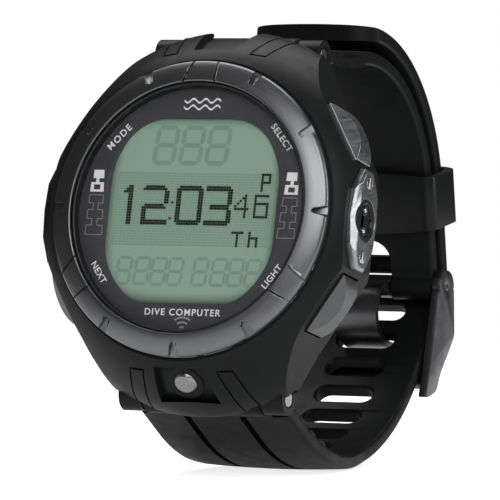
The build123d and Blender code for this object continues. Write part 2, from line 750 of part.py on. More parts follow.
def slot_frames():
    """Places of the adjustment slots along the long strap: (point, direction of the strap)."""
    frames = []
    low_straight = (LOW_START[0] - CORNER[0]) * RUN_45[0] + (LOW_START[1] - CORNER[1]) * RUN_45[1]
    for k in range(6):
        t = TONGUE_T + k * SLOT_PITCH
        if t <= low_straight:
            frames.append((at_buckle(t, 0), -135))
        else:
            turn = degrees((t - low_straight) / LOW_R)
            frames.append((polar(LOW_CENTRE, LOW_R, -45 - turn), -135 - turn))
    arc = radians(CORNER_TURN) * CORNER_R
    for k in (1, 2, 3):
        back = k * SLOT_PITCH - (TONGUE_T - CORNER_CUT)
        if back < arc:
            turn = degrees(back / CORNER_R)
            frames.append((polar(CORNER_CENTRE, CORNER_R, -45 + turn), -135 + turn))
        else:
            rise = back - arc
            end = polar(CORNER_CENTRE, CORNER_R, LEAN)
            frames.append(((end[0] - DOWN[0] * rise, end[1] - DOWN[1] * rise), -90 + LEAN))
    return frames


def lower_strap():
    half = TAIL_THICK / 2
    strap = across(long_band(half, half), STRAP_HALF)
    strap = lug_end(strap, LOWER_PIN, LOW_END + 90, 1)
    strap &= strap_plan()
    width, height = SLOT_SIZE
    for point, angle in slot_frames():
        slot = extrude(SlotOverall(width, height), 4, both=True)
        strap -= Location((0, *point), (angle + 180, 0, 0)) * slot
    # the rounded tip of the tail
    tip_y, tip_z = polar(LOOP_CENTRE, TAIL_R, TAIL_TIP_ANGLE)
    trim = Pos(0, tip_y, 0) * Rectangle(40, 12)
    rounded = Pos(0, tip_y + 7.5, 0) * RectangleRounded(2 * TAIL_HALF, 15, 6)
    return strap - extrude(Pos(0, 0, tip_z - 5) * (trim - rounded), 20)


KEEPER_BELOW = 1.4          # the keeper's middle under the end of the short strap's bend
KEEPER_AT = (SHORT_END[0] + DOWN[0] * KEEPER_BELOW, SHORT_END[1] + DOWN[1] * KEEPER_BELOW)


def strap_keeper():
    """The loop that holds the tail, in a frame whose Z runs along the strap, downwards."""
    low = -STRAP_THICK / 2 - KEEPER_GAP
    high = TAIL_R - SHORT_R + TAIL_THICK / 2 + KEEPER_GAP
    half = TAIL_HALF + 0.35
    middle = (low + high) / 2
    outer = RectangleRounded(2 * (half + KEEPER_WALL), high - low + 2 * KEEPER_WALL, 2.2)
    inner = RectangleRounded(2 * half, high - low, 0.8)
    body = extrude(Pos(0, middle, 0) * (outer - inner), KEEPER_LENGTH / 2, both=True)
    # its edges bulge a little in the middle
    x, edge, crown = half + 3, KEEPER_LENGTH / 2 - 0.9, KEEPER_LENGTH / 2
    sides = [Line((x, edge), (x, -edge)), Line((-x, edge), (-x, -edge))]
    arcs = [ThreePointArc((-x, z), (0, c), (x, z)) for z, c in ((edge, crown), (-edge, -crown))]
    body &= extrude(Plane.XZ * make_face(sides + arcs), 30, both=True)
    return Location((0, *KEEPER_AT), (180 + LEAN, 0, 0)) * Rot(0, 0, 180) * body


# ---- buckle ----
FRAME_PLATE = (11.1, 18.0, 2.5, 3.8)    # from t, to t, from w, to w


ARM_HEAD_R = 2.95
# side view of an arm, from the bar
ARM_OUTLINE = (
    (ARM_HEAD_R, 0),
    (3.2, -8.5),
    (-2.9, -14.8),
    (-4.6, -17.7),
    (-9.1, -18.6),
    (-7.1, -13.5),
    (-ARM_HEAD_R, 0),
)


def buckle_frame():
    arm = make_face(Polyline(*[(BAR[0] + y, BAR[1] + z) for y, z in ARM_OUTLINE], close=True))
    arm += Pos(*BAR) * Circle(ARM_HEAD_R)
    body = None
    for side in (1, -1):
        middle = side * (ARM_IN_X + ARM_OUT_X) / 2
        plate = Pos(middle, 0, 0) * extrude(Plane.YZ * arm, (ARM_OUT_X - ARM_IN_X) / 2, both=True)
        body = plate if body is None else body + plate
    t0, t1, w0, w1 = FRAME_PLATE
    corners = [at_buckle(t, w) for t, w in ((t0, w0), (t1, w0 - 0.2), (t1, w1), (t0, w1))]
    body += across(make_face(Polyline(*corners, close=True)), ARM_IN_X + 0.2)
    # notch for the tip of the tongue
    t2 = t0 + 0.9
    notch = [at_buckle(t, w) for t, w in ((t0 - 1, w0 - 1), (t2, w0 - 1), (t2, w1 + 1), (t0 - 1, w1 + 1))]
    body -= across(make_face(Polyline(*notch, close=True)), TONGUE_HALF + 0.3)
    return body - around(BAR, BAR_TIP_R + FIT, 20)


def buckle_bar():
    return around(BAR, BAR_R, ARM_IN_X - 0.1) + around(BAR, BAR_TIP_R, ARM_OUT_X)


TONGUE_ARC_FROM = 230
TONGUE_ARC_TO = 268
TONGUE_BULGE_C = 5.6        # distance of the bulge's centre from the bar
TONGUE_BULGE_TURN = 170


def buckle_tongue():
    half = TONGUE_THICK / 2
    hook = make_face(
        [
            CenterArc(BAR, TONGUE_R - half, TONGUE_ARC_FROM, TONGUE_ARC_TO - TONGUE_ARC_FROM),
            CenterArc(BAR, TONGUE_R + half, TONGUE_ARC_FROM, TONGUE_ARC_TO - TONGUE_ARC_FROM),
            Line(polar(BAR, TONGUE_R - half, TONGUE_ARC_FROM), polar(BAR, TONGUE_R + half, TONGUE_ARC_FROM)),
            Line(polar(BAR, TONGUE_R - half, TONGUE_ARC_TO), polar(BAR, TONGUE_R + half, TONGUE_ARC_TO)),
        ]
    )
    bulge_r = TONGUE_R - TONGUE_BULGE_C
    centre = polar(BAR, TONGUE_BULGE_C, TONGUE_ARC_FROM)
    start = TONGUE_ARC_FROM - TONGUE_BULGE_TURN
    bulge = make_face(
        [
            CenterArc(centre, bulge_r - half, start, TONGUE_BULGE_TURN),
            CenterArc(centre, bulge_r + half, start, TONGUE_BULGE_TURN),
            *(
                Line(polar(centre, bulge_r - half, end), polar(centre, bulge_r + half, end))
                for end in (start, TONGUE_ARC_FROM)
            ),
        ]
    )
    body = across(hook + bulge, TONGUE_HALF)
    keep = around(BAR, 3.4, 20) - around(BAR, 5, HUB_HALF)
    body -= keep
    body += around(BAR, 2.0, HUB_HALF)
    return body - around(BAR, BAR_R + FIT, 20)


# ---- all pieces ----
def lcd_panel():
    return panel(*LCD, LCD_BACK_N, SEAT_N)


def backlight_panel():
    return panel(*LCD, LIGHT_BACK_N, LCD_BACK_N)


FACE_PIECES = {
    "case_body": case_body,
    "bezel_ring": bezel_ring,
    "crystal": crystal,
    "crystal_gasket": lambda: ring(BEZEL_BORE_R - 0.01, DIAL_R + 0.01, SEAT_N, 0.55),
    "dial_mask": dial_mask,
    "lcd_panel": lcd_panel,
    "backlight_panel": backlight_panel,
    "display_carrier": display_carrier,
    "circuit_board": circuit_board,
    "board_chips": board_chips,
    "antenna_coil": antenna_coil,
    "buzzer": buzzer,
    "dome_switches": dome_switches,
    "pressure_sensor": pressure_sensor,
    "battery_cup": battery_cup,
    "battery_contacts": battery_contacts,
    "battery_cell": battery_cell,
    "battery_hatch": battery_hatch,
    "hatch_o_ring": hatch_o_ring,
    "hatch_lock_ring": hatch_lock_ring,
    "case_back": case_back,
    "case_back_gasket": case_back_gasket,
    "case_back_screws": case_back_screws,
    "port_plate": port_plate,
    "port_insert": port_insert,
    "port_pins": port_pins,
    "port_screws": port_screws,
    "wet_contact": wet_contact,
    "upper_lug_bar": lambda: lug_bar(1),
    "lower_lug_bar": lambda: lug_bar(-1),
}
for name, make in FACE_PIECES.items():
    PIECES[name] = FACE_FRAME * make()

seals = []
for name, (side, up) in BUTTONS.items():
    frame = FACE_FRAME * button_frame(side, up)
    PIECES["button_" + name] = frame * button_cap()
    PIECES["button_clip_" + name] = frame * button_clip()
    PIECES["button_spring_" + name] = frame * button_spring()
    seals.append(frame * button_seal())
PIECES["button_seals"] = Compound(seals)

PIECES["upper_strap"] = upper_strap()
PIECES["lower_strap"] = lower_strap()
PIECES["strap_keeper"] = strap_keeper()
PIECES["buckle_frame"] = buckle_frame()
PIECES["buckle_bar"] = buckle_bar()
PIECES["buckle_tongue"] = buckle_tongue()

# the origin goes to the floor under the middle of the whole object
whole = Compound(list(PIECES.values())).bounding_box()
TO_ORIGIN = Location((-whole.center().X, -whole.center().Y, -whole.min.Z))
for name, shape in PIECES.items():
    export_step(TO_ORIGIN * shape, "parts/" + name + ".step")
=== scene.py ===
"""Looks of a wrist dive computer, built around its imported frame.

Lengths in the settings and in the code are in millimetres and are turned into metres
where a shape is made. Face pieces are modelled flat, with X to 3 o'clock, Y to 12 o'clock
and Z out of the dial, and are then laid onto the leaning face. Strap pieces are modelled
straight and are then bent along the strap's path with a Curve modifier.
"""

import json
import math

import bmesh
import bpy
from bpy.props import FloatProperty, FloatVectorProperty, PointerProperty
from bpy.types import Operator, Panel, PropertyGroup
from mathutils import Matrix, Vector


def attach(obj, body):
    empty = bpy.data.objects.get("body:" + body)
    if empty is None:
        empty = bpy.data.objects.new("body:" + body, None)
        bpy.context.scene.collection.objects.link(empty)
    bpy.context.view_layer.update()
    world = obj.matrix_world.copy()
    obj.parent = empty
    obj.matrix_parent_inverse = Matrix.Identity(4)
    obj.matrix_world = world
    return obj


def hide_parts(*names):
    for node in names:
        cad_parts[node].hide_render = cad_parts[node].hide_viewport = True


bl_info = {
    "name": "Dive computer looks",
    "version": (1, 0, 0),
    "blender": (4, 5, 0),
    "location": "3D View > Sidebar > Dive computer",
    "description": "Builds the visible pieces of a wrist dive computer on its packed frame",
    "category": "Object",
}

MM = 0.001
NEAR = 1e-6                     # in metres, for points that fall together
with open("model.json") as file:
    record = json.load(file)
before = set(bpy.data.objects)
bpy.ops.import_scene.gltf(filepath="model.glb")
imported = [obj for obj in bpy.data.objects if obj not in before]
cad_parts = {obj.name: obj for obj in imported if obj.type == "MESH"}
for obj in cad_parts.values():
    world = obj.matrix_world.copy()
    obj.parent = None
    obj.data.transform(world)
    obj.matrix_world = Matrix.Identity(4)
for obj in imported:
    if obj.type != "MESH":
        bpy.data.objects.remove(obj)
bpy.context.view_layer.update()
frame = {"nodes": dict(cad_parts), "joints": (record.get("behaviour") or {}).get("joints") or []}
JOINTS = {j["name"]: j for j in frame["joints"]}

# the face's own frame, from the axis of the battery hatch's lock ring
BACK_N = -17.0
CRYSTAL_TOP = 0.9
SEAT = -1.3
MASK_TOP = -1.0
NORMAL = -Vector(JOINTS["lock_ring_turn"]["axis"]).normalized()
RIGHT = Vector((1, 0, 0))
UP = NORMAL.cross(RIGHT)
FACE_ORIGIN = Vector(JOINTS["lock_ring_turn"]["pos_m"]) - NORMAL * BACK_N * MM
FACE = Matrix.Translation(FACE_ORIGIN) @ Matrix((RIGHT, UP, NORMAL)).transposed().to_4x4()
LEAN_OF_FACE = math.atan2(UP.y, UP.z)

# the strap's path, in (y, z) from the middle of the bezel
BAR = Vector(JOINTS["tongue_swing"]["pos_m"])
DOWN = Vector(JOINTS["keeper_slide"]["axis"])
LEAN = 8.0
SHORT_R = 27.3
TAIL_R = 31.7
LOOP_CENTRE = (45.0, -3.5)
LOW_CENTRE = (37.5, -5.0)
LOW_R = 38.6
CORNER_R = 8.0
TAIL_TIP_ANGLE = 86
SHORT_THICK = 2.6
TAIL_THICK = 2.8
TAIL_HALF = 11.5
LUG_HALF = 13.5
TAPER_Y = (26.0, 44.0)
SLOT_PITCH = 6.5
SLOT_SIZE = (10.5, 3.6)
SLOTS = range(-3, 6)
TONGUE_R = 10.37
PIN_V = 28.5                    # of the lug bars, up the face and into it
PIN_N = -14.0


# ---- tools of the bench ----
def only(obj=None):
    """Leaves the object mode with just this object selected, or nothing."""
    if bpy.context.object and bpy.context.object.mode != "OBJECT":
        bpy.ops.object.mode_set(mode="OBJECT")
    bpy.ops.object.select_all(action="DESELECT")
    if obj:
        obj.select_set(True)
        bpy.context.view_layer.objects.active = obj


def edit(obj=None):
    """Opens a mesh, or the one just added, with all of it selected."""
    if obj:
        only(obj)
    bpy.ops.object.mode_set(mode="EDIT")
    bpy.ops.mesh.select_all(action="SELECT")


def finish_edit():
    bpy.ops.mesh.select_all(action="SELECT")
    bpy.ops.mesh.normals_make_consistent(inside=False)
    bpy.ops.object.mode_set(mode="OBJECT")


def extrude(step):
    bpy.ops.mesh.extrude_region_move(TRANSFORM_OT_translate={"value": step})


def widen(x, y, level):
    """Scales the selection about the Z axis, at a height."""
    bpy.ops.transform.resize(value=(x, y, 1), center_override=(0, 0, level * MM))


def choose_rims(level=None):
    """Selects the open edges, all of them or those at one height."""
    mesh = bmesh.from_edit_mesh(bpy.context.object.data)
    bpy.ops.mesh.select_mode(type="EDGE")
    bpy.ops.mesh.select_all(action="DESELECT")
    for edge in mesh.edges:
        if edge.is_boundary and (level is None or abs(edge.verts[0].co.z - level * MM) < NEAR):
            edge.select_set(True)
    mesh.select_flush_mode()
    bmesh.update_edit_mesh(bpy.context.object.data)


def traced(name, points, height=0.0):
    """An outline drawn by extruding one vertex from point to point, filled, and raised."""
    spots = [Vector((p[0], p[1], p[2] if len(p) > 2 else 0)) * MM for p in points]
    only()
    bpy.ops.mesh.primitive_plane_add(size=MM, location=(0, 0, 0))
    obj = bpy.context.object
    obj.name = name
    edit()
    bpy.ops.mesh.select_mode(type="VERT")
    bpy.ops.mesh.merge(type="CENTER")
    bpy.ops.transform.translate(value=spots[0])
    for a, b in zip(spots, spots[1:]):
        extrude(b - a)
    bpy.ops.mesh.select_all(action="SELECT")
    bpy.ops.mesh.edge_face_add()
    if height:
        extrude((0, 0, height * MM))
    finish_edit()
    return obj


def turned(name, profile, steps=180, ring=False):
    """A turned piece: a circle extruded and resized along a profile of (radius, height)."""
    only()
    radius, level = profile[0]
    bpy.ops.mesh.primitive_circle_add(vertices=steps, radius=radius * MM, location=(0, 0, 0))
    obj = bpy.context.object
    obj.name = name
    edit()
    bpy.ops.transform.translate(value=(0, 0, level * MM))
    for new_radius, new_level in profile[1:]:
        extrude((0, 0, (new_level - level) * MM))
        widen(new_radius / radius, new_radius / radius, new_level)
        radius, level = new_radius, new_level
    if ring:
        choose_rims()
        bpy.ops.mesh.bridge_edge_loops()
    else:
        for end_level in (profile[0][1], level):
            choose_rims(end_level)
            bpy.ops.mesh.edge_face_add()
    finish_edit()
    return obj


def modify(obj, kind, **settings):
    """Adds a modifier, sets it and applies it."""
    only(obj)
    modifier = obj.modifiers.new(kind.title(), kind)
    for key, value in settings.items():
        setattr(modifier, key, value)
    bpy.ops.object.modifier_apply(modifier=modifier.name)


def cut(obj, cutter, operation="DIFFERENCE"):
    modify(obj, "BOOLEAN", operation=operation, object=cutter, solver="EXACT")
    bpy.data.objects.remove(cutter)


def soften(obj, width, segments=2, angle=30):
    """Rounds the sharp edges and shades the rest smooth."""
    if width:
        modify(
            obj,
            "BEVEL",
            width=width * MM,
            segments=segments,
            limit_method="ANGLE",
            angle_limit=math.radians(angle),
            use_clamp_overlap=True,
            miter_outer="MITER_ARC",
        )
    smooth(obj)


def smooth(obj, angle=32):
    only(obj)
    bpy.ops.object.shade_smooth_by_angle(angle=math.radians(angle))


def moved(obj, matrix):
    """Moves a finished mesh and leaves its object at the origin."""
    only(obj)
    obj.matrix_world = matrix @ obj.matrix_world
    bpy.ops.object.transform_apply(location=True, rotation=True, scale=True)
    return obj


def joined(name, objs):
    only()
    for obj in objs:
        obj.select_set(True)
    bpy.context.view_layer.objects.active = objs[0]
    if len(objs) > 1:
        bpy.ops.object.join()
    objs[0].name = name
    return objs[0]


def block(name, x, y, z):
    """A box from three (low, high) pairs, used as a cutter or joined to a larger piece."""
    only()
    middle = [(a + b) / 2 * MM for a, b in (x, y, z)]
    bpy.ops.mesh.primitive_cube_add(size=1, location=middle)
    obj = bpy.context.object
    obj.name = name
    obj.scale = [(b - a) * MM for a, b in (x, y, z)]
    bpy.ops.object.transform_apply(location=True, rotation=True, scale=True)
    return obj


def arc(centre, radius, start, end, steps):
    """Points along an arc, angles in degrees, both ends included."""
    points = []
    for i in range(steps + 1):
        angle = math.radians(start + (end - start) * i / steps)
        points.append((centre[0] + radius * math.cos(angle), centre[1] + radius * math.sin(angle)))
    return points


def rounded(points, radius, steps=5):
    """A closed outline with each corner replaced by an arc-like curve."""
    result = []
    count = len(points)
    for i, corner in enumerate(points):
        here = Vector(corner[:2])
        before = Vector(points[i - 1][:2])
        after = Vector(points[(i + 1) % count][:2])
        reach = min(radius, (before - here).length * 0.48, (after - here).length * 0.48)
        start = here + (before - here).normalized() * reach
        end = here + (after - here).normalized() * reach
        for k in range(steps + 1):
            t = k / steps
            spot = start * (1 - t) ** 2 + here * 2 * t * (1 - t) + end * t**2
            result.append((spot.x, spot.y))
    return result


def mirror_points(points):
    return list(points) + [(-x, y) for x, y in reversed(points)]


def clock(radius, angle):
    """(x, v) on the dial at a clock angle, in degrees from 12."""
    return radius * math.sin(math.radians(angle)), radius * math.cos(math.radians(angle))


def wear(obj, material, body, stands_for=()):
    """Gives a finished piece its material and its body, and hides the CAD nodes that it stands for."""
    obj.data.materials.clear()
    obj.data.materials.append(material)
    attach(obj, body)
    if stands_for:
        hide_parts(*stands_for)
    return obj


def from_cad(node, name, bevel=0.0, segments=2, angle=32):
    """A merged and smoothed copy of a CAD node, for a node whose shape is right."""
    source = frame["nodes"][node]
    copy = source.copy()
    copy.data = source.data.copy()
    copy.parent = None
    for key in list(copy.keys()):
        if key.startswith("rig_"):
            del copy[key]
    bpy.context.scene.collection.objects.link(copy)
    copy.name = name
    edit(copy)
    bpy.ops.mesh.remove_doubles(threshold=0.002 * MM)
    bpy.ops.mesh.dissolve_limited(angle_limit=math.radians(0.4))
    bpy.ops.mesh.normals_make_consistent(inside=False)
    bpy.ops.object.mode_set(mode="OBJECT")
    if copy.data.has_custom_normals:
        only(copy)
        bpy.ops.mesh.customdata_custom_splitnormals_clear()
    soften(copy, bevel, segments, angle)
    if bevel:
        modify(copy, "WEIGHTED_NORMAL", keep_sharp=True)
    return copy


def dress(node, name, material, bevel=0.0, segments=2, angle=32, body="watch"):
    """Finishes a CAD node as it stands."""
    return wear(from_cad(node, name, bevel, segments, angle), material, body, [node])


# ---- finishes ----
class Finish:
    """A material's nodes, with short ways to add and join them."""

    def __init__(self, name):
        self.material = bpy.data.materials.new(name)
        self.material.use_nodes = True
        self.tree = self.material.node_tree
        self.shader = self.tree.nodes["Principled BSDF"]
        self.place = self.add("ShaderNodeTexCoord").outputs["Object"]

    def add(self, kind, **settings):
        node = self.tree.nodes.new(kind)
        for key, value in settings.items():
            if key.startswith("in_"):
                node.inputs[int(key[3:])].default_value = value
            else:
                setattr(node, key, value)
        return node

    def join(self, source, target):
        self.tree.links.new(source, target)
        return target

    def maths(self, operation, a, b=None):
        node = self.add("ShaderNodeMath", operation=operation)
        for socket, value in ((0, a), (1, b)):
            if value is None:
                continue
            if isinstance(value, (int, float)):
                node.inputs[socket].default_value = value
            else:
                self.join(value, node.inputs[socket])
        return node.outputs[0]

    def on_face(self):
        """Coordinates in metres in the face's own frame."""
        node = self.add("ShaderNodeMapping", vector_type="TEXTURE")
        node.inputs["Location"].default_value = FACE_ORIGIN
        node.inputs["Rotation"].default_value = (math.pi / 2 - LEAN_OF_FACE, 0, 0)
        self.join(self.place, node.inputs["Vector"])
        return node.outputs[0]

    def stretched(self, x, y, z, vector=None):
        node = self.add("ShaderNodeMapping")
        node.inputs["Scale"].default_value = (x, y, z)
        self.join(vector or self.place, node.inputs["Vector"])
        return node.outputs[0]

    def round_the_dial(self, across, along):
        """Coordinates that follow turned grooves about the dial's middle."""
        parts = self.add("ShaderNodeSeparateXYZ")
        self.join(self.on_face(), parts.inputs[0])
        x, y = parts.outputs[0], parts.outputs[1]
        squares = [self.maths("MULTIPLY", v, v) for v in (x, y)]
        radius = self.maths("SQRT", self.maths("ADD", *squares))
        angle = self.maths("ARCTAN2", y, x)
        both = self.add("ShaderNodeCombineXYZ")
        self.join(self.maths("MULTIPLY", radius, across), both.inputs[0])
        self.join(self.maths("MULTIPLY", angle, along), both.inputs[1])
        self.join(parts.outputs[2], both.inputs[2])
        return both.outputs[0]

    def noise(self, scale, vector=None, detail=4.0):
        node = self.add("ShaderNodeTexNoise")
        node.inputs["Scale"].default_value = scale
        node.inputs["Detail"].default_value = detail
        self.join(vector or self.place, node.inputs["Vector"])
        return node.outputs["Fac"]

    def blend(self, amount, first, second):
        """A colour between two, each a colour or a socket."""
        node = self.add("ShaderNodeMix", data_type="RGBA")
        for socket, value in ((0, amount), (6, first), (7, second)):
            if isinstance(value, (int, float)):
                node.inputs[socket].default_value = value
            elif isinstance(value, tuple):
                node.inputs[socket].default_value = (*value, 1)
            else:
                self.join(value, node.inputs[socket])
        return node.outputs[2]

    def spread(self, source, low, high):
        node = self.add("ShaderNodeMapRange")
        self.join(source, node.inputs[0])
        node.inputs[1].default_value = 0.3
        node.inputs[2].default_value = 0.7
        node.inputs[3].default_value = low
        node.inputs[4].default_value = high
        return node.outputs[0]

    def tinted(self, source, colour, amount):
        """A little darker and lighter than the colour, as the source goes."""
        mixed = self.blend(source, darker(colour, 1 - amount), darker(colour, 1 + amount))
        self.join(mixed, self.shader.inputs["Base Color"])

    def roughened(self, source, low, high):
        self.join(self.spread(source, low, high), self.shader.inputs["Roughness"])

    def bump(self, source, height, strength=1.0):
        node = self.add("ShaderNodeBump")
        node.inputs["Strength"].default_value = strength
        node.inputs["Distance"].default_value = height * MM
        self.join(source, node.inputs["Height"])
        self.join(node.outputs[0], self.shader.inputs["Normal"])

    def set(self, **values):
        for key, value in values.items():
            name = key.replace("_", " ").title().replace("Ior", "IOR")
            self.shader.inputs[name].default_value = (*value, 1) if isinstance(value, tuple) else value
        return self


def darker(colour, factor):
    return tuple(c * factor for c in colour)


def moulded(name, colour, roughness, grain=0.012, mottle=0.18, size=1600, gloss=0.5):
    """A moulded or blasted surface: fine grain, slight cloudiness and rougher patches."""
    f = Finish(name).set(specular_ior_level=gloss)
    f.tinted(f.noise(180), colour, mottle)
    f.roughened(f.noise(420), roughness * 0.88, roughness * 1.12)
    f.bump(f.noise(size, detail=6.0), grain)
    return f.material


def brushed(name, colour, roughness, along=(1, 1, 14), grain=0.006, size=700, specks=0.12):
    """Metal brushed along one direction, given by how little the pattern changes along it."""
    f = Finish(name).set(metallic=1.0)
    lines = f.noise(size, f.stretched(*along), detail=5.0)
    f.tinted(lines, colour, specks)
    f.roughened(lines, roughness * 0.8, roughness * 1.2)
    f.bump(lines, grain)
    return f.material


def turned_metal(name, colour, roughness, grain=0.004, specks=0.1):
    """Metal with fine turning lines about the dial's middle."""
    f = Finish(name).set(metallic=1.0)
    lines = f.noise(1.0, f.round_the_dial(5200, 1.6), detail=4.0)
    f.tinted(lines, colour, specks)
    f.roughened(lines, roughness * 0.85, roughness * 1.15)
    f.bump(lines, grain)
    return f.material


def polished(name, colour, roughness):
    """Polished metal with faint handling marks."""
    f = Finish(name).set(metallic=1.0, base_color=colour)
    marks = f.noise(900, f.stretched(1, 3, 1), detail=8.0)
    f.roughened(marks, roughness * 0.6, roughness * 1.5)
    f.bump(marks, 0.002)
    return f.material


def dial_film(name, colour):
    """A screen-printed film: matt, with a fine print grain."""
    f = Finish(name).set(specular_ior_level=0.25)
    grain = f.noise(5000, detail=2.0)
    f.tinted(grain, colour, 0.07)
    f.roughened(f.noise(300), 0.5, 0.6)
    f.bump(grain, 0.0004)
    return f.material


WINDOW = (15.1, 15.3)
DOT_PITCH = 0.4375
DOT_AREA = (14.0, 6.1)


def display_glass(name, colour, shade):
    """The display's reflective layer, with a faint grid of dots and a painted shadow of the dial film that
    makes it darker towards the window's edge.
    """
    f = Finish(name)
    parts = f.add("ShaderNodeSeparateXYZ")
    f.join(f.on_face(), parts.inputs[0])
    x, y = parts.outputs[0], parts.outputs[1]

    def grid_line(value):
        cell = f.maths("FRACT", f.maths("DIVIDE", value, DOT_PITCH * MM))
        return f.maths("GREATER_THAN", f.maths("ABSOLUTE", f.maths("SUBTRACT", cell, 0.5)), 0.36)

    def within(value, half):
        return f.maths("LESS_THAN", f.maths("ABSOLUTE", value), half * MM)

    line = f.maths("MAXIMUM", grid_line(x), grid_line(y))
    band = f.maths("MULTIPLY", within(x, DOT_AREA[0]), within(y, DOT_AREA[1]))
    dots = f.maths("MULTIPLY", f.maths("SUBTRACT", 1.0, line), band)
    # how near a point is to the window's edge, as a rounded square, for the painted shadow of the dial film
    # there
    shares = [f.maths("DIVIDE", v, half * MM) for v, half in zip((x, y), WINDOW)]
    edge = f.maths("ADD", *(f.maths("POWER", f.maths("ABSOLUTE", v), 4.5) for v in shares))
    film_shadow = f.add("ShaderNodeMapRange", interpolation_type="SMOOTHSTEP")
    f.join(edge, film_shadow.inputs[0])
    for socket, value in ((1, 0.55), (2, 1.15), (3, 0.0), (4, 0.9)):
        film_shadow.inputs[socket].default_value = value
    cloud = f.blend(f.noise(55), darker(colour, 0.96), darker(colour, 1.04))
    lit = f.blend(f.maths("MULTIPLY", dots, 0.62), cloud, darker(colour, 0.6))
    # painted shadow: the display colour is blended towards the shade colour near the window's edge, where
    # the dial film would cast its shadow
    f.join(f.blend(film_shadow.outputs[0], lit, shade), f.shader.inputs["Base Color"])
    f.set(roughness=0.5, specular_ior_level=0.2)
    f.bump(line, 0.001, 0.2)
    return f.material


def clear_glass(name):
    f = Finish(name).set(base_color=(0.05, 0.055, 0.06), roughness=0.03, alpha=0.06, ior=1.5)
    f.roughened(f.noise(40, detail=2.0), 0.02, 0.05)
    return f.material


def board_lacquer(name):
    """Green lacquer over copper tracks, with paler tracks on a square grid."""
    f = Finish(name).set(roughness=0.35)
    brick = f.add("ShaderNodeTexBrick")
    f.join(f.on_face(), brick.inputs["Vector"])
    brick.inputs["Scale"].default_value = 420
    brick.inputs["Color1"].default_value = (0.008, 0.09, 0.035, 1)
    brick.inputs["Color2"].default_value = (0.01, 0.12, 0.045, 1)
    brick.inputs["Mortar"].default_value = (0.03, 0.2, 0.08, 1)
    f.join(brick.outputs["Color"], f.shader.inputs["Base Color"])
    f.bump(brick.outputs["Fac"], 0.02)
    return f.material


def wound_wire(name):
    """Enamelled copper wire wound side by side."""
    f = Finish(name).set(metallic=0.9, roughness=0.3)
    wave = f.add("ShaderNodeTexWave", wave_type="BANDS", bands_direction="X")
    wave.inputs["Scale"].default_value = 900
    f.join(f.place, wave.inputs["Vector"])
    f.join(f.blend(wave.outputs["Fac"], (0.25, 0.08, 0.02), (0.75, 0.3, 0.1)), f.shader.inputs["Base Color"])
    f.bump(wave.outputs["Fac"], 0.05)
    return f.material


# ---- settings ----
def length(name, description, default):
    return FloatProperty(name=name, description=description, default=default, unit="LENGTH")


def colour(name, description, default):
    return FloatVectorProperty(
        name=name, description=description, default=default, subtype="COLOR", size=3, min=0.0, max=1.0
    )


class DiveCaseSettings(PropertyGroup):
    rubber: colour("Case rubber", "Colour of the moulded case", (0.0075, 0.008, 0.008))
    bezel: colour("Bezel metal", "Colour of the bezel's finish", (0.17, 0.172, 0.178))
    bezel_edge: length("Bezel edge", "Width of the bevel on the bezel's sharp edges", 0.00018)
    # the upper and lower buttons are one metal: the paler upper colour is painted light and the darker lower
    # colour is painted shade
    lit_button_metal: colour("Upper buttons", "Colour of the two upper buttons", (0.33, 0.335, 0.35))
    shaded_button_metal: colour("Lower buttons", "Colour of the two lower buttons", (0.11, 0.112, 0.115))
    plate: colour("Port plate", "Colour of the side port's plate", (0.3, 0.305, 0.315))


class DiveDialSettings(PropertyGroup):
    film: colour("Dial film", "Colour of the printed dial", (0.052, 0.052, 0.057))
    print_white: colour("Print", "Colour of the dial's print", (0.8, 0.8, 0.8))
    display: colour("Display", "Colour of the unlit display", (0.3, 0.445, 0.338))
    segment: colour("Segments", "Colour of the display's lit dots", (0.012, 0.016, 0.015))
    label_height: length("Label height", "Height of the words beside the buttons", 0.00118)


class DiveStrapSettings(PropertyGroup):
    rubber: colour("Strap rubber", "Colour of the straps", (0.0072, 0.0077, 0.0077))
    crown: length("Crown", "How much thicker the strap is in its middle than at its edges", 0.00035)
    edge: length("Edge", "Radius of the strap's long edges", 0.0006)
    buckle: colour("Buckle metal", "Colour of the buckle's finish", (0.14, 0.142, 0.148))


class DiveStageSettings(PropertyGroup):
    lens: FloatProperty(name="Lens", description="Focal length of the camera in millimetres", default=432.0)
    key: FloatProperty(name="Key light", description="Power of the key light", default=3.6)
    floor: colour("Floor", "Colour of the floor", (0.94, 0.94, 0.94))


def settings(group):
    return getattr(bpy.context.scene, "dive_" + group)


def tint(values):
    return tuple(values)


# ---- bezel ----
NOTCH_ANGLES = (24, 57, 90.5, 147, 180, 213, 269.5, 303, 336)
BEZEL_LINES = (
    (-8.8, -3.6), (7.8, 5.9), (115.6, 118.1), (130.1, 127.6), (-113.5, -118.2), (-130.2, -128.6),
)
BEZEL_BORE = 20.85
BEZEL_R = 24.5


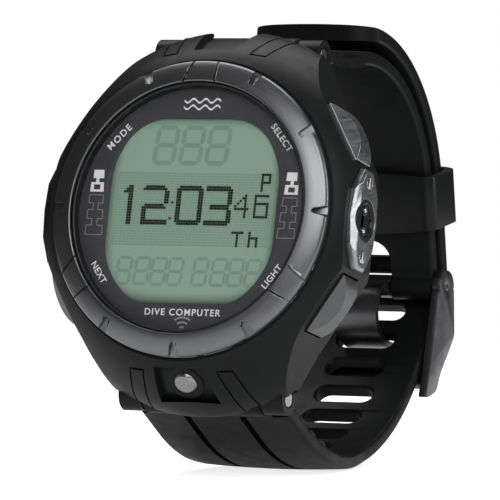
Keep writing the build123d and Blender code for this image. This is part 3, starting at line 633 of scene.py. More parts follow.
class DIVE_OT_bezel(Operator):
    """Turns the bezel and mills its nine notches and six engraved lines."""

    bl_idname = "dive.bezel"
    bl_label = "Bezel"

    def execute(self, context):
        s = settings("case")
        profile = [(BEZEL_BORE, SEAT), (BEZEL_BORE, 0.95)]
        profile += arc((21.12, 0.99), 0.27, 180, 62, 4)
        profile += [(21.45, 1.2), (22.2, 1.0), (23.3, 0.62)]
        profile += arc((23.75, -0.45), 0.78, 62, 0, 5)
        profile += [(BEZEL_R, -0.62), (BEZEL_R, SEAT + 0.08), (BEZEL_R - 0.08, SEAT)]
        ring = turned("bezel", profile, steps=360, ring=True)
        for angle in NOTCH_ANGLES:
            ring = self.mill(ring, angle)
        for inner, outer in BEZEL_LINES:
            self.engrave(ring, inner, outer)
        soften(ring, s.bezel_edge / MM, 2, 38)
        moved(ring, FACE)
        metal = turned_metal("bezel_metal", tint(s.bezel), 0.36, 0.0008, 0.03)
        wear(ring, metal, "watch", ["bezel_ring"])
        return {"FINISHED"}

    def mill(self, ring, angle):
        """One pointed notch, open at the rim, with a sloping floor."""
        outline = [(-0.95, 2.2), (-0.8, 0.9), (-0.5, -0.75)] + arc((0, -0.85), 0.36, 170, 370, 8)
        outline += [(0.5, -0.75), (0.8, 0.9), (0.95, 2.2)]
        cutter = traced("notch", [(x, y, 0) for x, y in outline], 3)
        turn = Matrix.Rotation(-math.radians(angle), 4, "Z")
        x, v = clock(23.15, angle)
        lean = Matrix.Rotation(math.radians(-20), 4, "X")
        moved(cutter, Matrix.Translation(Vector((x, v, 0.02)) * MM) @ turn @ lean)
        cut(ring, cutter)
        return ring

    def engrave(self, ring, inner, outer):
        start, end = Vector(clock(BEZEL_BORE - 0.5, inner)), Vector(clock(BEZEL_R + 0.5, outer))
        along = end - start
        reach = along.length
        cutter = block("line", (-1, reach + 1), (-0.14, 0.14), (-0.1, 1.2))
        slope = Matrix.Rotation(math.radians(19), 4, "Y")
        turn = Matrix.Rotation(math.atan2(along.y, along.x), 4, "Z")
        moved(cutter, Matrix.Translation(Vector((start.x, start.y, 1.08)) * MM) @ turn @ slope)
        cut(ring, cutter)


# ---- dial ----
WINDOW_CORNERS = ((8.2, 15.0), (12.4, 12.3), (15.1, 7.0), (15.1, -7.8), (12.6, -12.4), (8.8, -15.6))
DIAL_R = 20.3


class DIVE_OT_dial(Operator):
    """Cuts the dial film with its window, and makes the crystal and its gasket."""

    bl_idname = "dive.dial"
    bl_label = "Dial film, crystal and gasket"

    def execute(self, context):
        s = settings("dial")
        film = turned("dial_film", [(DIAL_R, SEAT + 0.01), (DIAL_R, MASK_TOP)], steps=180)
        window = rounded(mirror_points(WINDOW_CORNERS), 4.2, 10)
        cutter = traced("window", [(x, y, SEAT - 1) for x, y in window], 3)
        cut(film, cutter)
        soften(film, 0.04, 2, 40)
        moved(film, FACE)
        wear(film, dial_film("dial_print", tint(s.film)), "watch", ["dial_mask"])

        glass = turned(
            "crystal_finish",
            [(DIAL_R, MASK_TOP + 0.03), (DIAL_R, CRYSTAL_TOP - 0.35)]
            + arc((DIAL_R - 0.35, CRYSTAL_TOP - 0.35), 0.35, 0, 90, 5)[1:]
            + [(12.0, CRYSTAL_TOP)],
            steps=180,
        )
        smooth(glass, 50)
        moved(glass, FACE)
        wear(glass, clear_glass("crystal_glass"), "watch", ["crystal"])

        gasket = turned(
            "gasket_finish",
            [(BEZEL_BORE - 0.02, SEAT + 0.05), (BEZEL_BORE - 0.02, 0.4)]
            + arc(((DIAL_R + BEZEL_BORE) / 2, 0.4), (BEZEL_BORE - DIAL_R) / 2 - 0.02, 0, 180, 8)[1:]
            + [(DIAL_R + 0.02, SEAT + 0.05)],
            steps=180,
            ring=True,
        )
        smooth(gasket, 50)
        moved(gasket, FACE)
        black = moulded("gasket_rubber", (0.006, 0.006, 0.006), 0.45, 0.004)
        wear(gasket, black, "watch", ["crystal_gasket"])
        return {"FINISHED"}


def lettering(text, height, middle, turn, spacing=1.0, lift=0.03):
    """One printed word on the dial: its middle in (x, v) and its turn in degrees."""
    only()
    bpy.ops.object.text_add(location=(0, 0, 0))
    word = bpy.context.object
    word.data.body = text
    word.data.align_x = "CENTER"
    word.data.align_y = "CENTER"
    word.data.size = height * 1.38 * MM
    word.data.space_character = spacing
    word.data.offset = 0.02 * height * MM
    word.data.extrude = 0.012 * MM
    word.data.resolution_u = 6
    bpy.ops.object.convert(target="MESH")
    word = bpy.context.object
    place = Matrix.Translation(Vector((middle[0], middle[1], MASK_TOP + lift)) * MM)
    return moved(word, place @ Matrix.Rotation(math.radians(turn), 4, "Z"))


def flat_mark(name, points, low=MASK_TOP + 0.005, thick=0.03):
    return traced(name, [(x, y, low) for x, y in points], thick)


class DIVE_OT_print(Operator):
    """Prints the dial: button labels, bar graphs, a wave, the words at 6 o'clock and radio arcs."""

    bl_idname = "dive.print"
    bl_label = "Dial print"

    def execute(self, context):
        s = settings("dial")
        h = s.label_height / MM
        pieces = [
            lettering("MODE", h, (-14.35, 11.75), 47, 1.25),
            lettering("SELECT", h * 0.94, (14.8, 12.0), -50, 1.15),
            lettering("NEXT", h * 0.94, (-15.55, -10.8), -54, 1.08),
            lettering("LIGHT", h * 0.94, (15.6, -10.9), 54, 1.08),
            lettering("DIVE COMPUTER", 1.12, (0.3, -17.1), 0, 1.2),
        ]
        pieces += self.waves()
        pieces += self.bar_graph(1) + self.bar_graph(-1)
        marks = joined("dial_marks", pieces)
        moved(marks, FACE)
        white = moulded("print_ink", tint(s.print_white), 0.5, 0.002, mottle=0.03)
        wear(marks, white, "watch")

        arcs = joined("radio_arcs", self.radio())
        moved(arcs, FACE)
        grey = moulded("pale_ink", (0.3, 0.3, 0.24), 0.5, 0.002, mottle=0.03)
        wear(arcs, grey, "watch")

        outline = joined("scale_outlines", self.outlines(1) + self.outlines(-1))
        moved(outline, FACE)
        thin = moulded("outline_ink", (0.3, 0.3, 0.3), 0.5, 0.002, mottle=0.03)
        wear(outline, thin, "watch")
        return {"FINISHED"}

    def waves(self):
        """Two rolling waves over the window."""
        rows = []
        for row, half in ((18.0, 3.3), (16.9, 3.3)):
            count = 36
            top, low = [], []
            for i in range(count + 1):
                x = -half + 2 * half * i / count
                rise = 0.34 * math.sin(x * 2.9)
                thick = 0.16
                top.append((x, row + rise + thick))
                low.append((x, row + rise - thick))
            rows.append(flat_mark("wave", top + low[::-1]))
        return rows

    def radio(self):
        marks = []
        for radius in (0.75, 1.55, 2.35):
            outer = arc((0.5, -20.1), radius, 128, 52, 10)
            inner = arc((0.5, -20.1), radius - 0.26, 52, 128, 10)
            marks.append(flat_mark("arc", outer + inner))
        return marks

    def side_x(self, side, v, out):
        """x on a side's slanted bar graph, out = 0 at its inner edge and 1 at its outer edge."""
        inner = 16.05 + 0.07 * v
        return side * (inner + (2.1 + 0.09 * (6.3 - v)) * out)

    def cell(self, side, high, low, from_out=0.0, to_out=1.0):
        return [
            (self.side_x(side, high, from_out), high),
            (self.side_x(side, high, to_out), high),
            (self.side_x(side, low, to_out), low),
            (self.side_x(side, low, from_out), low),
        ]

    def bar_graph(self, side):
        """Two filled blocks joined by a thin stem, the second with a small window."""
        blocks = [flat_mark("block", self.cell(side, 6.3, 4.9, 0.0, 0.86))]
        blocks.append(flat_mark("stem", self.cell(side, 4.92, 4.2, 0.38, 0.62)))
        lower = [(4.22, 3.85, 0.0, 1.0), (3.0, 2.65, 0.0, 1.0)]
        lower += [(3.87, 2.98, 0.0, 0.26), (3.87, 2.98, 0.76, 1.0)]
        for high, low, a, b in lower:
            blocks.append(flat_mark("frame", self.cell(side, high, low, a, b)))
        return blocks

    def outlines(self, side):
        """A thin line round three blocks and the necks between them."""
        w = 0.05
        levels = [(2.1, 0.0), (0.75, 0.0), (0.75, 0.33), (-0.35, 0.33), (-0.35, 0.0), (-1.85, 0.0)]
        levels += [(-1.85, 0.33), (-2.95, 0.33), (-2.95, 0.0), (-4.5, 0.0)]
        mirror = [(v, 1 - out) for v, out in reversed(levels)]
        path = [Vector((self.side_x(side, v, out), v)) for v, out in levels + mirror]
        lines = []
        for a, b in zip(path, path[1:] + path[:1]):
            if (b - a).length < 1e-6:
                continue
            along = (b - a).normalized() * w
            across = Vector((-along.y, along.x))
            corners = [a - along + across, b + along + across, b + along - across, a - along - across]
            lines.append(flat_mark("line", [(c.x, c.y) for c in corners], thick=0.02))
        return lines


# ---- display ----
# glyphs of the dot display, row by row from the top
BIG_DIGITS = {
    "1": "..##/.###/####/..##/..##/..##/..##/..##/..##/..##/..##/..##/..##/..##/..##",
    "2": ".########../##########./.........##/.........##/.........##/.........##/.........##/"
    ".########../##########./##........./##........./##........./##........./###########/###########",
    "0": ".#########./###########/##.......##/##.......##/##.......##/##.......##/##.......##/"
    "##.......##/##.......##/##.......##/##.......##/##.......##/##.......##/###########/.#########.",
    "3": "##########./###########/.........##/.........##/.........##/.........##/.........##/"
    "..########./..########./.........##/.........##/.........##/.........##/###########/##########.",
}
SMALL_GLYPHS = {
    "4": "....#./...##./..#.#./.#..#./#...#./######/....#./....#./....#.",
    "6": "######/#...../#...../######/#....#/#....#/#....#/#....#/######",
    "P": "####/#..#/#..#/####/#.../#.../#...",
    "T": "#####/..#../..#../..#../..#../..#..",
    "h": "#.../#.../####/#..#/#..#/#..#",
}
DOT_ROWS = 28
DOT_COLUMNS = 64


class DIVE_OT_display(Operator):
    """Lights the dots of the time 12:03 46 P and the day, and draws the unlit segments."""

    bl_idname = "dive.display"
    bl_label = "Display dots and segments"

    def execute(self, context):
        s = settings("dial")
        place = []
        for glyph, column, row in (("1", 3, 5), ("2", 11, 5), ("0", 25, 5), ("3", 37, 5)):
            place += self.dots(BIG_DIGITS[glyph], column, row)
        for glyph, column, row in (("4", 49, 8), ("6", 57, 8), ("P", 59, 0), ("T", 49, 22), ("h", 56, 22)):
            place += self.dots(SMALL_GLYPHS[glyph], column, row)
        place += [(23, 11), (22.6, 17)]
        lit = self.array(place)
        moved(lit, FACE)
        ink = moulded("lit_dots", tint(s.segment), 0.6, 0.0, mottle=0.1, gloss=0.1)
        wear(lit, ink, "watch")

        ghosts = []
        for x in (-5.9, -1.2, 3.5):
            ghosts += self.seven(x, 10.6, 3.4, 5.9, 0.75)
        for x in (-11.2, -7.9, -4.9, -1.9, 2.6, 5.9, 8.9, 12.0):
            ghosts += self.seven(x, -10.3, 2.4, 4.3, 0.52)
        ghost = joined("unlit_segments", ghosts)
        moved(ghost, FACE)
        faint = moulded("unlit_ink", darker(tint(s.display), 0.77), 0.5, 0.0, mottle=0.05, gloss=0.2)
        wear(ghost, faint, "watch")
        return {"FINISHED"}

    def dots(self, glyph, column, row):
        lines = enumerate(glyph.split("/"))
        return [(column + c, row + r) for r, line in lines for c, mark in enumerate(line) if mark == "#"]

    def array(self, places):
        """Square dots, each a thin tile just over the display's surface, drawn as one mesh."""
        pitch = DOT_PITCH
        tile = block("lit_segments", (-0.205, 0.205), (-0.205, 0.205), (0.005, 0.02))
        tiles = []
        for column, row in places:
            x = (column - DOT_COLUMNS / 2 + 0.5) * pitch
            y = (DOT_ROWS / 2 - row - 0.5) * pitch
            spot = tile.copy()
            spot.data = tile.data.copy()
            bpy.context.scene.collection.objects.link(spot)
            spot.data.transform(Matrix.Translation(Vector((x, y, SEAT)) * MM))
            tiles.append(spot)
        bpy.data.objects.remove(tile)
        return joined("lit_segments", tiles)

    def seven(self, x, y, wide, high, thick):
        """An unlit seven-segment figure eight with pointed segment ends, leaning a little."""
        w, h, t = wide / 2, high / 2, thick / 2
        gap = 0.09
        long, short = w - gap, w - t - gap
        flat = [(-long, 0), (-short, t), (short, t), (long, 0), (short, -t), (-short, -t)]
        high, low = h - t - gap, t + gap
        tall = [(0, h - gap), (t, high), (t, low), (0, gap), (-t, low), (-t, high)]
        figures = [[(px, py + level) for px, py in flat] for level in (h, 0, -h)]
        figures += [[(px + side * w, py + drop) for px, py in tall] for side in (-1, 1) for drop in (0, -h)]
        slant = 0.09
        return [
            flat_mark("segment", [(x + px + slant * py, y + py) for px, py in figure], SEAT + 0.004, 0.008)
            for figure in figures
        ]


# ---- the strap's path ----
def polar(centre, radius, angle):
    turn = math.radians(angle)
    return centre[0] + radius * math.cos(turn), centre[1] + radius * math.sin(turn)


def touch_angle(point, centre, radius, side):
    """Angle on a circle where the line from an outside point touches it."""
    dy, dz = point[0] - centre[0], point[1] - centre[1]
    return math.degrees(math.atan2(dz, dy)) + side * math.degrees(math.acos(radius / math.hypot(dy, dz)))


def lug_pin(up):
    """(y, z) of the upper or lower lug bar from the middle of the bezel."""
    spot = UP * PIN_V * up + NORMAL * PIN_N
    return spot.y, spot.z


DROP = (DOWN.y, DOWN.z)
RUN_45 = (-math.cos(math.pi / 4), -math.sin(math.pi / 4))
OUT_45 = (math.cos(math.pi / 4), -math.sin(math.pi / 4))
BAR_YZ = ((BAR.y - FACE_ORIGIN.y) / MM, (BAR.z - FACE_ORIGIN.z) / MM)
SHORT_TOP = touch_angle(lug_pin(1), LOOP_CENTRE, SHORT_R, -1)
LOW_END = touch_angle(lug_pin(-1), LOW_CENTRE, LOW_R, 1)
TAIL_END = polar(LOOP_CENTRE, TAIL_R, LEAN)
LOW_START = polar(LOW_CENTRE, LOW_R, -45)


def crossing(a, along_a, b, along_b):
    """How far from a along its direction the two lines of the strap cross."""
    cross = along_a[0] * along_b[1] - along_a[1] * along_b[0]
    return ((b[0] - a[0]) * along_b[1] - (b[1] - a[1]) * along_b[0]) / cross


TAIL_RUN = crossing(TAIL_END, DROP, LOW_START, RUN_45)
CORNER = (TAIL_END[0] + DROP[0] * TAIL_RUN, TAIL_END[1] + DROP[1] * TAIL_RUN)
CORNER_CUT = CORNER_R * math.tan(math.radians((45 + LEAN) / 2))
CORNER_CENTRE = (
    CORNER[0] - DROP[0] * CORNER_CUT - CORNER_R * math.cos(math.radians(LEAN)),
    CORNER[1] - DROP[1] * CORNER_CUT - CORNER_R * math.sin(math.radians(LEAN)),
)


def at_buckle(t, w):
    """A point t along the 45 degree run from the strap's corner and w outwards from its middle."""
    return CORNER[0] + RUN_45[0] * t + OUT_45[0] * w, CORNER[1] + RUN_45[1] * t + OUT_45[1] * w


def tongue_slot():
    """Distance along the 45 degree run where the tongue passes the strap."""
    back = (BAR_YZ[0] - CORNER[0], BAR_YZ[1] - CORNER[1])
    t = back[0] * RUN_45[0] + back[1] * RUN_45[1]
    w = back[0] * OUT_45[0] + back[1] * OUT_45[1]
    return t + math.sqrt(TONGUE_R**2 - w**2)


def route(pieces, step=0.5):
    """Points along straight runs and arcs, evenly spaced, all turning clockwise in (y, z)."""
    points = []
    for piece in pieces:
        if piece[0] == "run":
            a, b = Vector(piece[1]), Vector(piece[2])
            count = max(1, round((b - a).length / step))
            points += [tuple(a.lerp(b, i / count)) for i in range(count)]
            last = tuple(b)
        else:
            _, centre, radius, start, end = piece
            count = max(1, round(abs(math.radians(end - start)) * radius / step))
            points += arc(centre, radius, start, end, count)[:-1]
            last = polar(centre, radius, end)
    return points + [last]


def route_length(pieces):
    total = 0
    for piece in pieces:
        if piece[0] == "run":
            total += (Vector(piece[2]) - Vector(piece[1])).length
        else:
            total += abs(math.radians(piece[4] - piece[3])) * piece[2]
    return total


SHORT_ROUTE = (
    ("run", lug_pin(1), polar(LOOP_CENTRE, SHORT_R, SHORT_TOP)),
    ("arc", LOOP_CENTRE, SHORT_R, SHORT_TOP, LEAN),
    ("run", polar(LOOP_CENTRE, SHORT_R, LEAN), BAR_YZ),
)
LONG_ROUTE = (
    ("arc", LOOP_CENTRE, TAIL_R, TAIL_TIP_ANGLE, LEAN),
    ("run", TAIL_END, polar(CORNER_CENTRE, CORNER_R, LEAN)),
    ("arc", CORNER_CENTRE, CORNER_R, LEAN, -45),
    ("run", polar(CORNER_CENTRE, CORNER_R, -45), LOW_START),
    ("arc", LOW_CENTRE, LOW_R, -45, LOW_END),
    ("run", polar(LOW_CENTRE, LOW_R, LOW_END), lug_pin(-1)),
)


def half_width(y):
    share = min(1, max(0, (y - TAPER_Y[0]) / (TAPER_Y[1] - TAPER_Y[0])))
    return LUG_HALF + (TAIL_HALF - LUG_HALF) * share


def band_section(half, thick, crown, edge):
    """Cross-section of a strap, x across it and y outwards: flat to the wrist and crowned outside."""
    top, flat = thick / 2, half - edge
    points = arc((flat, -top + edge), edge, -90, 0, 4)
    points += arc((flat, top - crown - edge), edge, 0, 90, 4)
    steps = 12
    for i in range(1, steps):
        x = flat - 2 * flat * i / steps
        points.append((x, top - crown * (x / flat) ** 2))
    points += arc((-flat, top - crown - edge), edge, 90, 180, 4)
    points += arc((-flat, -top + edge), edge, 180, 270, 4)
    return points


# from (across, outwards, along) to (along, outwards, across)
LAY_FLAT = Matrix(((0, 0, 1, 0), (0, 1, 0, 0), (-1, 0, 0, 0), (0, 0, 0, 1)))
# from (y, z, x) as drawn to the object's axes, for a bent strap and for a side piece
STAND_UP = Matrix(((0, 0, 1, 0), (1, 0, 0, 0), (0, 1, 0, 0), (0, 0, 0, 1)))


def straight_band(name, pieces, thick, crown, edge):
    """A strap lying straight along X, extruded station by station and narrowed as it goes."""
    points = route(pieces, 0.9)
    half = half_width(points[0][0])
    obj = traced(name, band_section(half, thick, crown, edge))
    edit(obj)
    level = 0
    for a, b in zip(points, points[1:]):
        reach = math.hypot(b[0] - a[0], b[1] - a[1])
        extrude((0, 0, reach * MM))
        level += reach
        new_half = half_width(b[0])
        if abs(new_half - half) > NEAR:
            widen(new_half / half, 1, level)
            half = new_half
    finish_edit()
    return moved(obj, LAY_FLAT)


def bent(obj, pieces):
    """Bends a straight strap along its route and stands it up at its place."""
    curve = bpy.data.curves.new("route", "CURVE")
    curve.dimensions = "2D"
    points = route(pieces, 0.4)
    line = curve.splines.new("POLY")
    line.points.add(len(points) - 1)
    for spot, (y, z) in zip(line.points, points):
        spot.co = (y * MM, z * MM, 0, 1)
    guide = bpy.data.objects.new("route", curve)
    bpy.context.scene.collection.objects.link(guide)
    modify(obj, "CURVE", object=guide, deform_axis="POS_X")
    bpy.data.objects.remove(guide)
    return moved(obj, Matrix.Translation(FACE_ORIGIN) @ STAND_UP)


def across_band(name, outline, half):
    """A cutter drawn in (along, outwards) and as wide as half to both sides."""
    return traced(name, [(x, y, -half) for x, y in outline], 2 * half)


CLEAR = 20.0                    # half length of a cutter that has to pass right through
GROOVES = 3
GROOVE_START = 7.5
GROOVE_PITCH = 4.7
GROOVE_HALF = 1.3
GROOVE_DEPTH = 1.2
LUG_WALL = 1.7
KNUCKLE_HALF = 10.5
KNUCKLE_R = 3.0


def roll(strap, name, s, radius, half, steps):
    """Adds a round roll across the strap, with chamfered ends."""
    small, near = radius - 0.3, half - 0.3
    piece = turned(name, [(small, -half), (radius, -near), (radius, near), (small, half)], steps)
    cut(strap, moved(piece, Matrix.Translation((s * MM, 0, 0))), "UNION")


def lug_end(strap, pin, toward):
    """Thickens the wrist side at the lug, cuts its three grip grooves and adds the knuckle."""
    a, b = sorted((pin, pin + toward * (6.0 + GROOVES * GROOVE_PITCH)))
    pad = [(a, -LUG_WALL), (b, -LUG_WALL), (b, 0), (a, 0)]
    cut(strap, across_band("pad", pad, LUG_HALF - 0.35), "UNION")
    mouth, floor = -LUG_WALL - 0.02, -LUG_WALL + GROOVE_DEPTH
    for k in range(GROOVES):
        s = pin + toward * (GROOVE_START + k * GROOVE_PITCH)
        outline = [(s - GROOVE_HALF, mouth), (s - 0.18, floor), (s + 0.18, floor)]
        outline += [(s + GROOVE_HALF, mouth), (s, -LUG_WALL - 1)]
        cut(strap, across_band("grip", outline, CLEAR))
    for side in (1, -1):
        z = sorted((KNUCKLE_HALF * side, CLEAR * side))
        cut(strap, block("ear_room", sorted((pin - 6 * toward, pin + 4.3 * toward)), (-6, 6), z))
    roll(strap, "knuckle", pin, KNUCKLE_R, KNUCKLE_HALF, 48)


FLARE = 0.42                    # of the slots' edges
QUARTER = Matrix.Rotation(math.radians(90), 4, "X")


def slot_cutter(s, thick):
    """A long round-ended slot with flared edges, at s along the strap."""
    half, round_r = SLOT_SIZE[0] / 2, SLOT_SIZE[1] / 2
    outline = arc((0, half - round_r), round_r, 0, 180, 8) + arc((0, round_r - half), round_r, 180, 360, 8)
    obj = traced("slot", [(x, z, -3) for x, z in outline])
    edit(obj)
    # flare, straight bore, flare: heights and how much wider each level is
    top = thick / 2
    levels = [(-3, FLARE), (-top, FLARE), (FLARE - top, 0), (top - FLARE, 0), (top, FLARE), (3, FLARE)]
    grown, level = 0, -3
    for height, wider in levels:
        if height > level:
            extrude((0, 0, (height - level) * MM))
        level = height
        widen((round_r + wider) / (round_r + grown), (half + wider) / (half + grown), level)
        grown = wider
    finish_edit()
    return moved(obj, Matrix.Translation((s * MM, 0, 0)) @ QUARTER)


BAR_R = 1.1
LOOP_R = 2.2                    # of the short strap's loop about the bar
GAP_HALF = 3.75                 # the tongue's opening in that loop, and its height over the bar
GAP_TOP = 4.5


class DIVE_OT_straps(Operator):
    """Makes both straps straight, with slots, grooves and lug ends, and bends them round the wrist."""

    bl_idname = "dive.straps"
    bl_label = "Straps"

    def execute(self, context):
        s = settings("strap")
        rubber = moulded("strap_rubber", tint(s.rubber), 0.44, 0.003, mottle=0.12, size=2600, gloss=0.1)
        crown, edge = s.crown / MM, s.edge / MM
        long = self.long_strap(crown, edge)
        short = self.short_strap(crown, edge)
        wear(long, rubber, "watch", ["lower_strap"])
        wear(short, rubber, "watch", ["upper_strap"])
        return {"FINISHED"}

    def long_strap(self, crown, edge):
        strap = straight_band("long_strap", LONG_ROUTE, TAIL_THICK, crown, edge)
        end = route_length(LONG_ROUTE)
        corner_s = route_length(LONG_ROUTE[:3])
        for k in SLOTS:
            cut(strap, slot_cutter(corner_s + tongue_slot() - CORNER_CUT + k * SLOT_PITCH, TAIL_THICK))
        plan = [(0, TAIL_HALF), (0, -TAIL_HALF), (20, -14), (end + 20, -20), (end + 20, 20), (20, 14)]
        tip = traced("tip", [(x, y, -8) for x, y in rounded(plan, 6, 8)], 16)
        cut(strap, moved(tip, QUARTER), "INTERSECT")
        lug_end(strap, end, -1)
        for side in (1, -1):
            x = 5.1 * side
            near, far = end - 4.2, end - 34
            outline = [(near, x - 0.6), (near, x + 0.6), (far + 8, x + 0.5), (far, x), (far + 8, x - 0.5)]
            groove = traced("long_groove", [(a, b, 0.35) for a, b in outline], 4)
            moved(groove, Matrix.Rotation(math.radians(-90), 4, "X"))
            cut(strap, groove)
        bent(strap, LONG_ROUTE)
        smooth(strap, 35)
        return strap

    def short_strap(self, crown, edge):
        strap = straight_band("short_strap", SHORT_ROUTE, SHORT_THICK, crown * 0.5, edge)
        end = route_length(SHORT_ROUTE)
        lug_end(strap, 0, 1)
        roll(strap, "bar_loop", end, LOOP_R, TAIL_HALF, 40)
        bore = turned("bore", [(BAR_R, -15), (BAR_R, 15)], 32)
        cut(strap, moved(bore, Matrix.Translation((end * MM, 0, 0))))
        half, top = GAP_HALF, GAP_TOP
        outline = [(end + 5, half), (end + 5, -half)] + arc((end - top, 0), half, 270, 90, 14)
        gap = traced("tongue_gap", [(x, y, -6) for x, y in outline], 12)
        cut(strap, moved(gap, QUARTER))
        bent(strap, SHORT_ROUTE)
        smooth(strap, 35)
        return strap


KEEPER_LENGTH = 10.6
KEEPER_WALL = 1.4
KEEPER_GAP = 0.45
KEEPER_BELOW = 1.4
KEEPER_RELIEF = 0.25            # room at the wrist side for the strap's bend


class DIVE_OT_keeper(Operator):
    """Makes the keeper loop, with softly bowed edges."""

    bl_idname = "dive.keeper"
    bl_label = "Keeper"

    def execute(self, context):
        s = settings("strap")
        low = -SHORT_THICK / 2 - KEEPER_GAP
        high = TAIL_R - SHORT_R + TAIL_THICK / 2 + KEEPER_GAP
        half = TAIL_HALF + 0.35
        wall = KEEPER_WALL
        out, base, top = half + wall, low - wall, high + wall
        box = [(-out, base), (out, base), (out, top), (-out, top)]
        floor = low - KEEPER_RELIEF
        hole = [(-half, floor), (half, floor), (half, high), (-half, high)]
        length = KEEPER_LENGTH / 2
        body = traced("keeper", [(x, y, -length) for x, y in rounded(box, 2.4, 8)], 2 * length)
        cut(body, traced("hole", [(x, y, -9) for x, y in rounded(hole, 1.0, 4)], 18))
        x = half + 3
        side_end = length - 0.9
        steps = 24
        shares = [1 - 2 * i / steps for i in range(steps + 1)]
        bow = [(x * share, side_end + 0.9 * math.cos(math.pi / 2 * share)) for share in shares]
        outline = bow + [(-a, -b) for a, b in bow]
        shape = traced("bow", [(a, b, -CLEAR) for a, b in outline], 2 * CLEAR)
        cut(body, moved(shape, QUARTER), "INTERSECT")
        soften(body, 0.4, 3, 40)
        end = polar(LOOP_CENTRE, SHORT_R, LEAN)
        middle = (end[0] + DROP[0] * KEEPER_BELOW, end[1] + DROP[1] * KEEPER_BELOW)
        lean = math.radians(LEAN)
        outwards = Vector((0, math.cos(lean), math.sin(lean)))
        axes = Matrix((RIGHT, outwards, -DOWN)).transposed().to_4x4()
        place = Matrix.Translation(FACE_ORIGIN + Vector((0, middle[0], middle[1])) * MM)
        moved(body, place @ axes)
        rubber = moulded("keeper_rubber", tint(s.rubber), 0.34, 0.002, mottle=0.1, size=2600, gloss=0.18)
        wear(body, rubber, "keeper", ["strap_keeper"])
        return {"FINISHED"}


ARM_IN_X = 12.0
ARM_OUT_X = 13.5
ARM_HEAD_R = 2.95
FRAME_PLATE = (11.1, 18.0, 2.5, 3.8)
TONGUE_ARC = (230, 268)
TONGUE_BULGE = 5.6
TONGUE_BULGE_TURN = 170
TONGUE_HALF = 4.0
TONGUE_THICK = 1.2
HUB_HALF = 3.5
HUB_R = 2.0


def side_piece(name, outline, low_x, high_x):
    """A piece drawn in (y, z) from the middle of the bezel, from x = low_x to high_x."""
    obj = traced(name, [(y, z, low_x) for y, z in outline], high_x - low_x)
    return moved(obj, Matrix.Translation(FACE_ORIGIN) @ STAND_UP)


class DIVE_OT_buckle(Operator):
    """Makes the buckle's frame, its bar and its curved tongue."""

    bl_idname = "dive.buckle"
    bl_label = "Buckle"

    def execute(self, context):
        s = settings("strap")
        metal = brushed("buckle_metal", tint(s.buckle), 0.36, (10, 1, 1), 0.0006, 500, 0.04)
        wear(self.frame_piece(), metal, "frame", ["buckle_frame"])
        wear(self.tongue(), metal, "tongue", ["buckle_tongue"])
        dress("buckle_bar", "bar", metal, 0.1)
        return {"FINISHED"}

    def frame_piece(self):
        y, z = BAR_YZ
        rear = [(3.2, -8.5), (-2.9, -14.8), (-4.6, -17.7), (-9.1, -18.6), (-7.1, -13.5)]
        lower = rounded([(ARM_HEAD_R, 0)] + rear + [(-ARM_HEAD_R, 0)], 1.0, 4)
        head = arc((0, 0), ARM_HEAD_R, 180, 0, 18)
        outline = [(y + a, z + b) for a, b in head + [p for p in lower if p[1] < -0.2]]
        arms = []
        for low, high in ((ARM_IN_X, ARM_OUT_X), (-ARM_OUT_X, -ARM_IN_X)):
            arms.append(side_piece("arm", outline, low, high))
        t0, t1, w0, w1 = FRAME_PLATE
        corners = [at_buckle(t, w) for t, w in ((t0, w0), (t1, w0 - 0.2), (t1, w1), (t0, w1))]
        plate = side_piece("plate", rounded(corners, 0.5, 3), -ARM_IN_X - 0.2, ARM_IN_X + 0.2)
        a, b, low, high = t0 - 1, t0 + 0.9, w0 - 1, w1 + 1
        notch = [at_buckle(t, w) for t, w in ((a, low), (b, low), (b, high), (a, high))]
        cut(plate, side_piece("notch", notch, -TONGUE_HALF - 0.3, TONGUE_HALF + 0.3))
        body = arms[0]
        cut(body, plate, "UNION")
        cut(body, arms[1], "UNION")
        hole = side_piece("pin_hole", arc(BAR_YZ, 0.65, 0, 345, 23), -CLEAR, CLEAR)
        cut(body, hole)
        body.name = "buckle_arms"
        soften(body, 0.22, 2, 40)
        return body

    def tongue(self):
        half = TONGUE_THICK / 2
        first, last = TONGUE_ARC
        start = first - TONGUE_BULGE_TURN
        centre = polar(BAR_YZ, TONGUE_BULGE, first)
        radius = TONGUE_R - TONGUE_BULGE
        outline = arc(centre, radius + half, start, first, 40)
        outline += arc(BAR_YZ, TONGUE_R + half, first, last, 14)[1:]
        outline += arc(BAR_YZ, TONGUE_R - half, last, first, 14)
        outline += arc(centre, radius - half, first, start, 40)[1:]
        plate = side_piece("buckle_tongue_plate", outline, -TONGUE_HALF, TONGUE_HALF)
        for low, high in ((HUB_HALF, 8), (-8, -HUB_HALF)):
            cut(plate, side_piece("trim", arc(BAR_YZ, 3.4, 0, 350, 35), low, high))
        hub = side_piece("hub", arc(BAR_YZ, HUB_R, 0, 345, 23), -HUB_HALF, HUB_HALF)
        cut(plate, hub, "UNION")
        cut(plate, side_piece("hub_bore", arc(BAR_YZ, 1.15, 0, 345, 23), -10, 10))
        soften(plate, 0.25, 3, 50)
        return plate


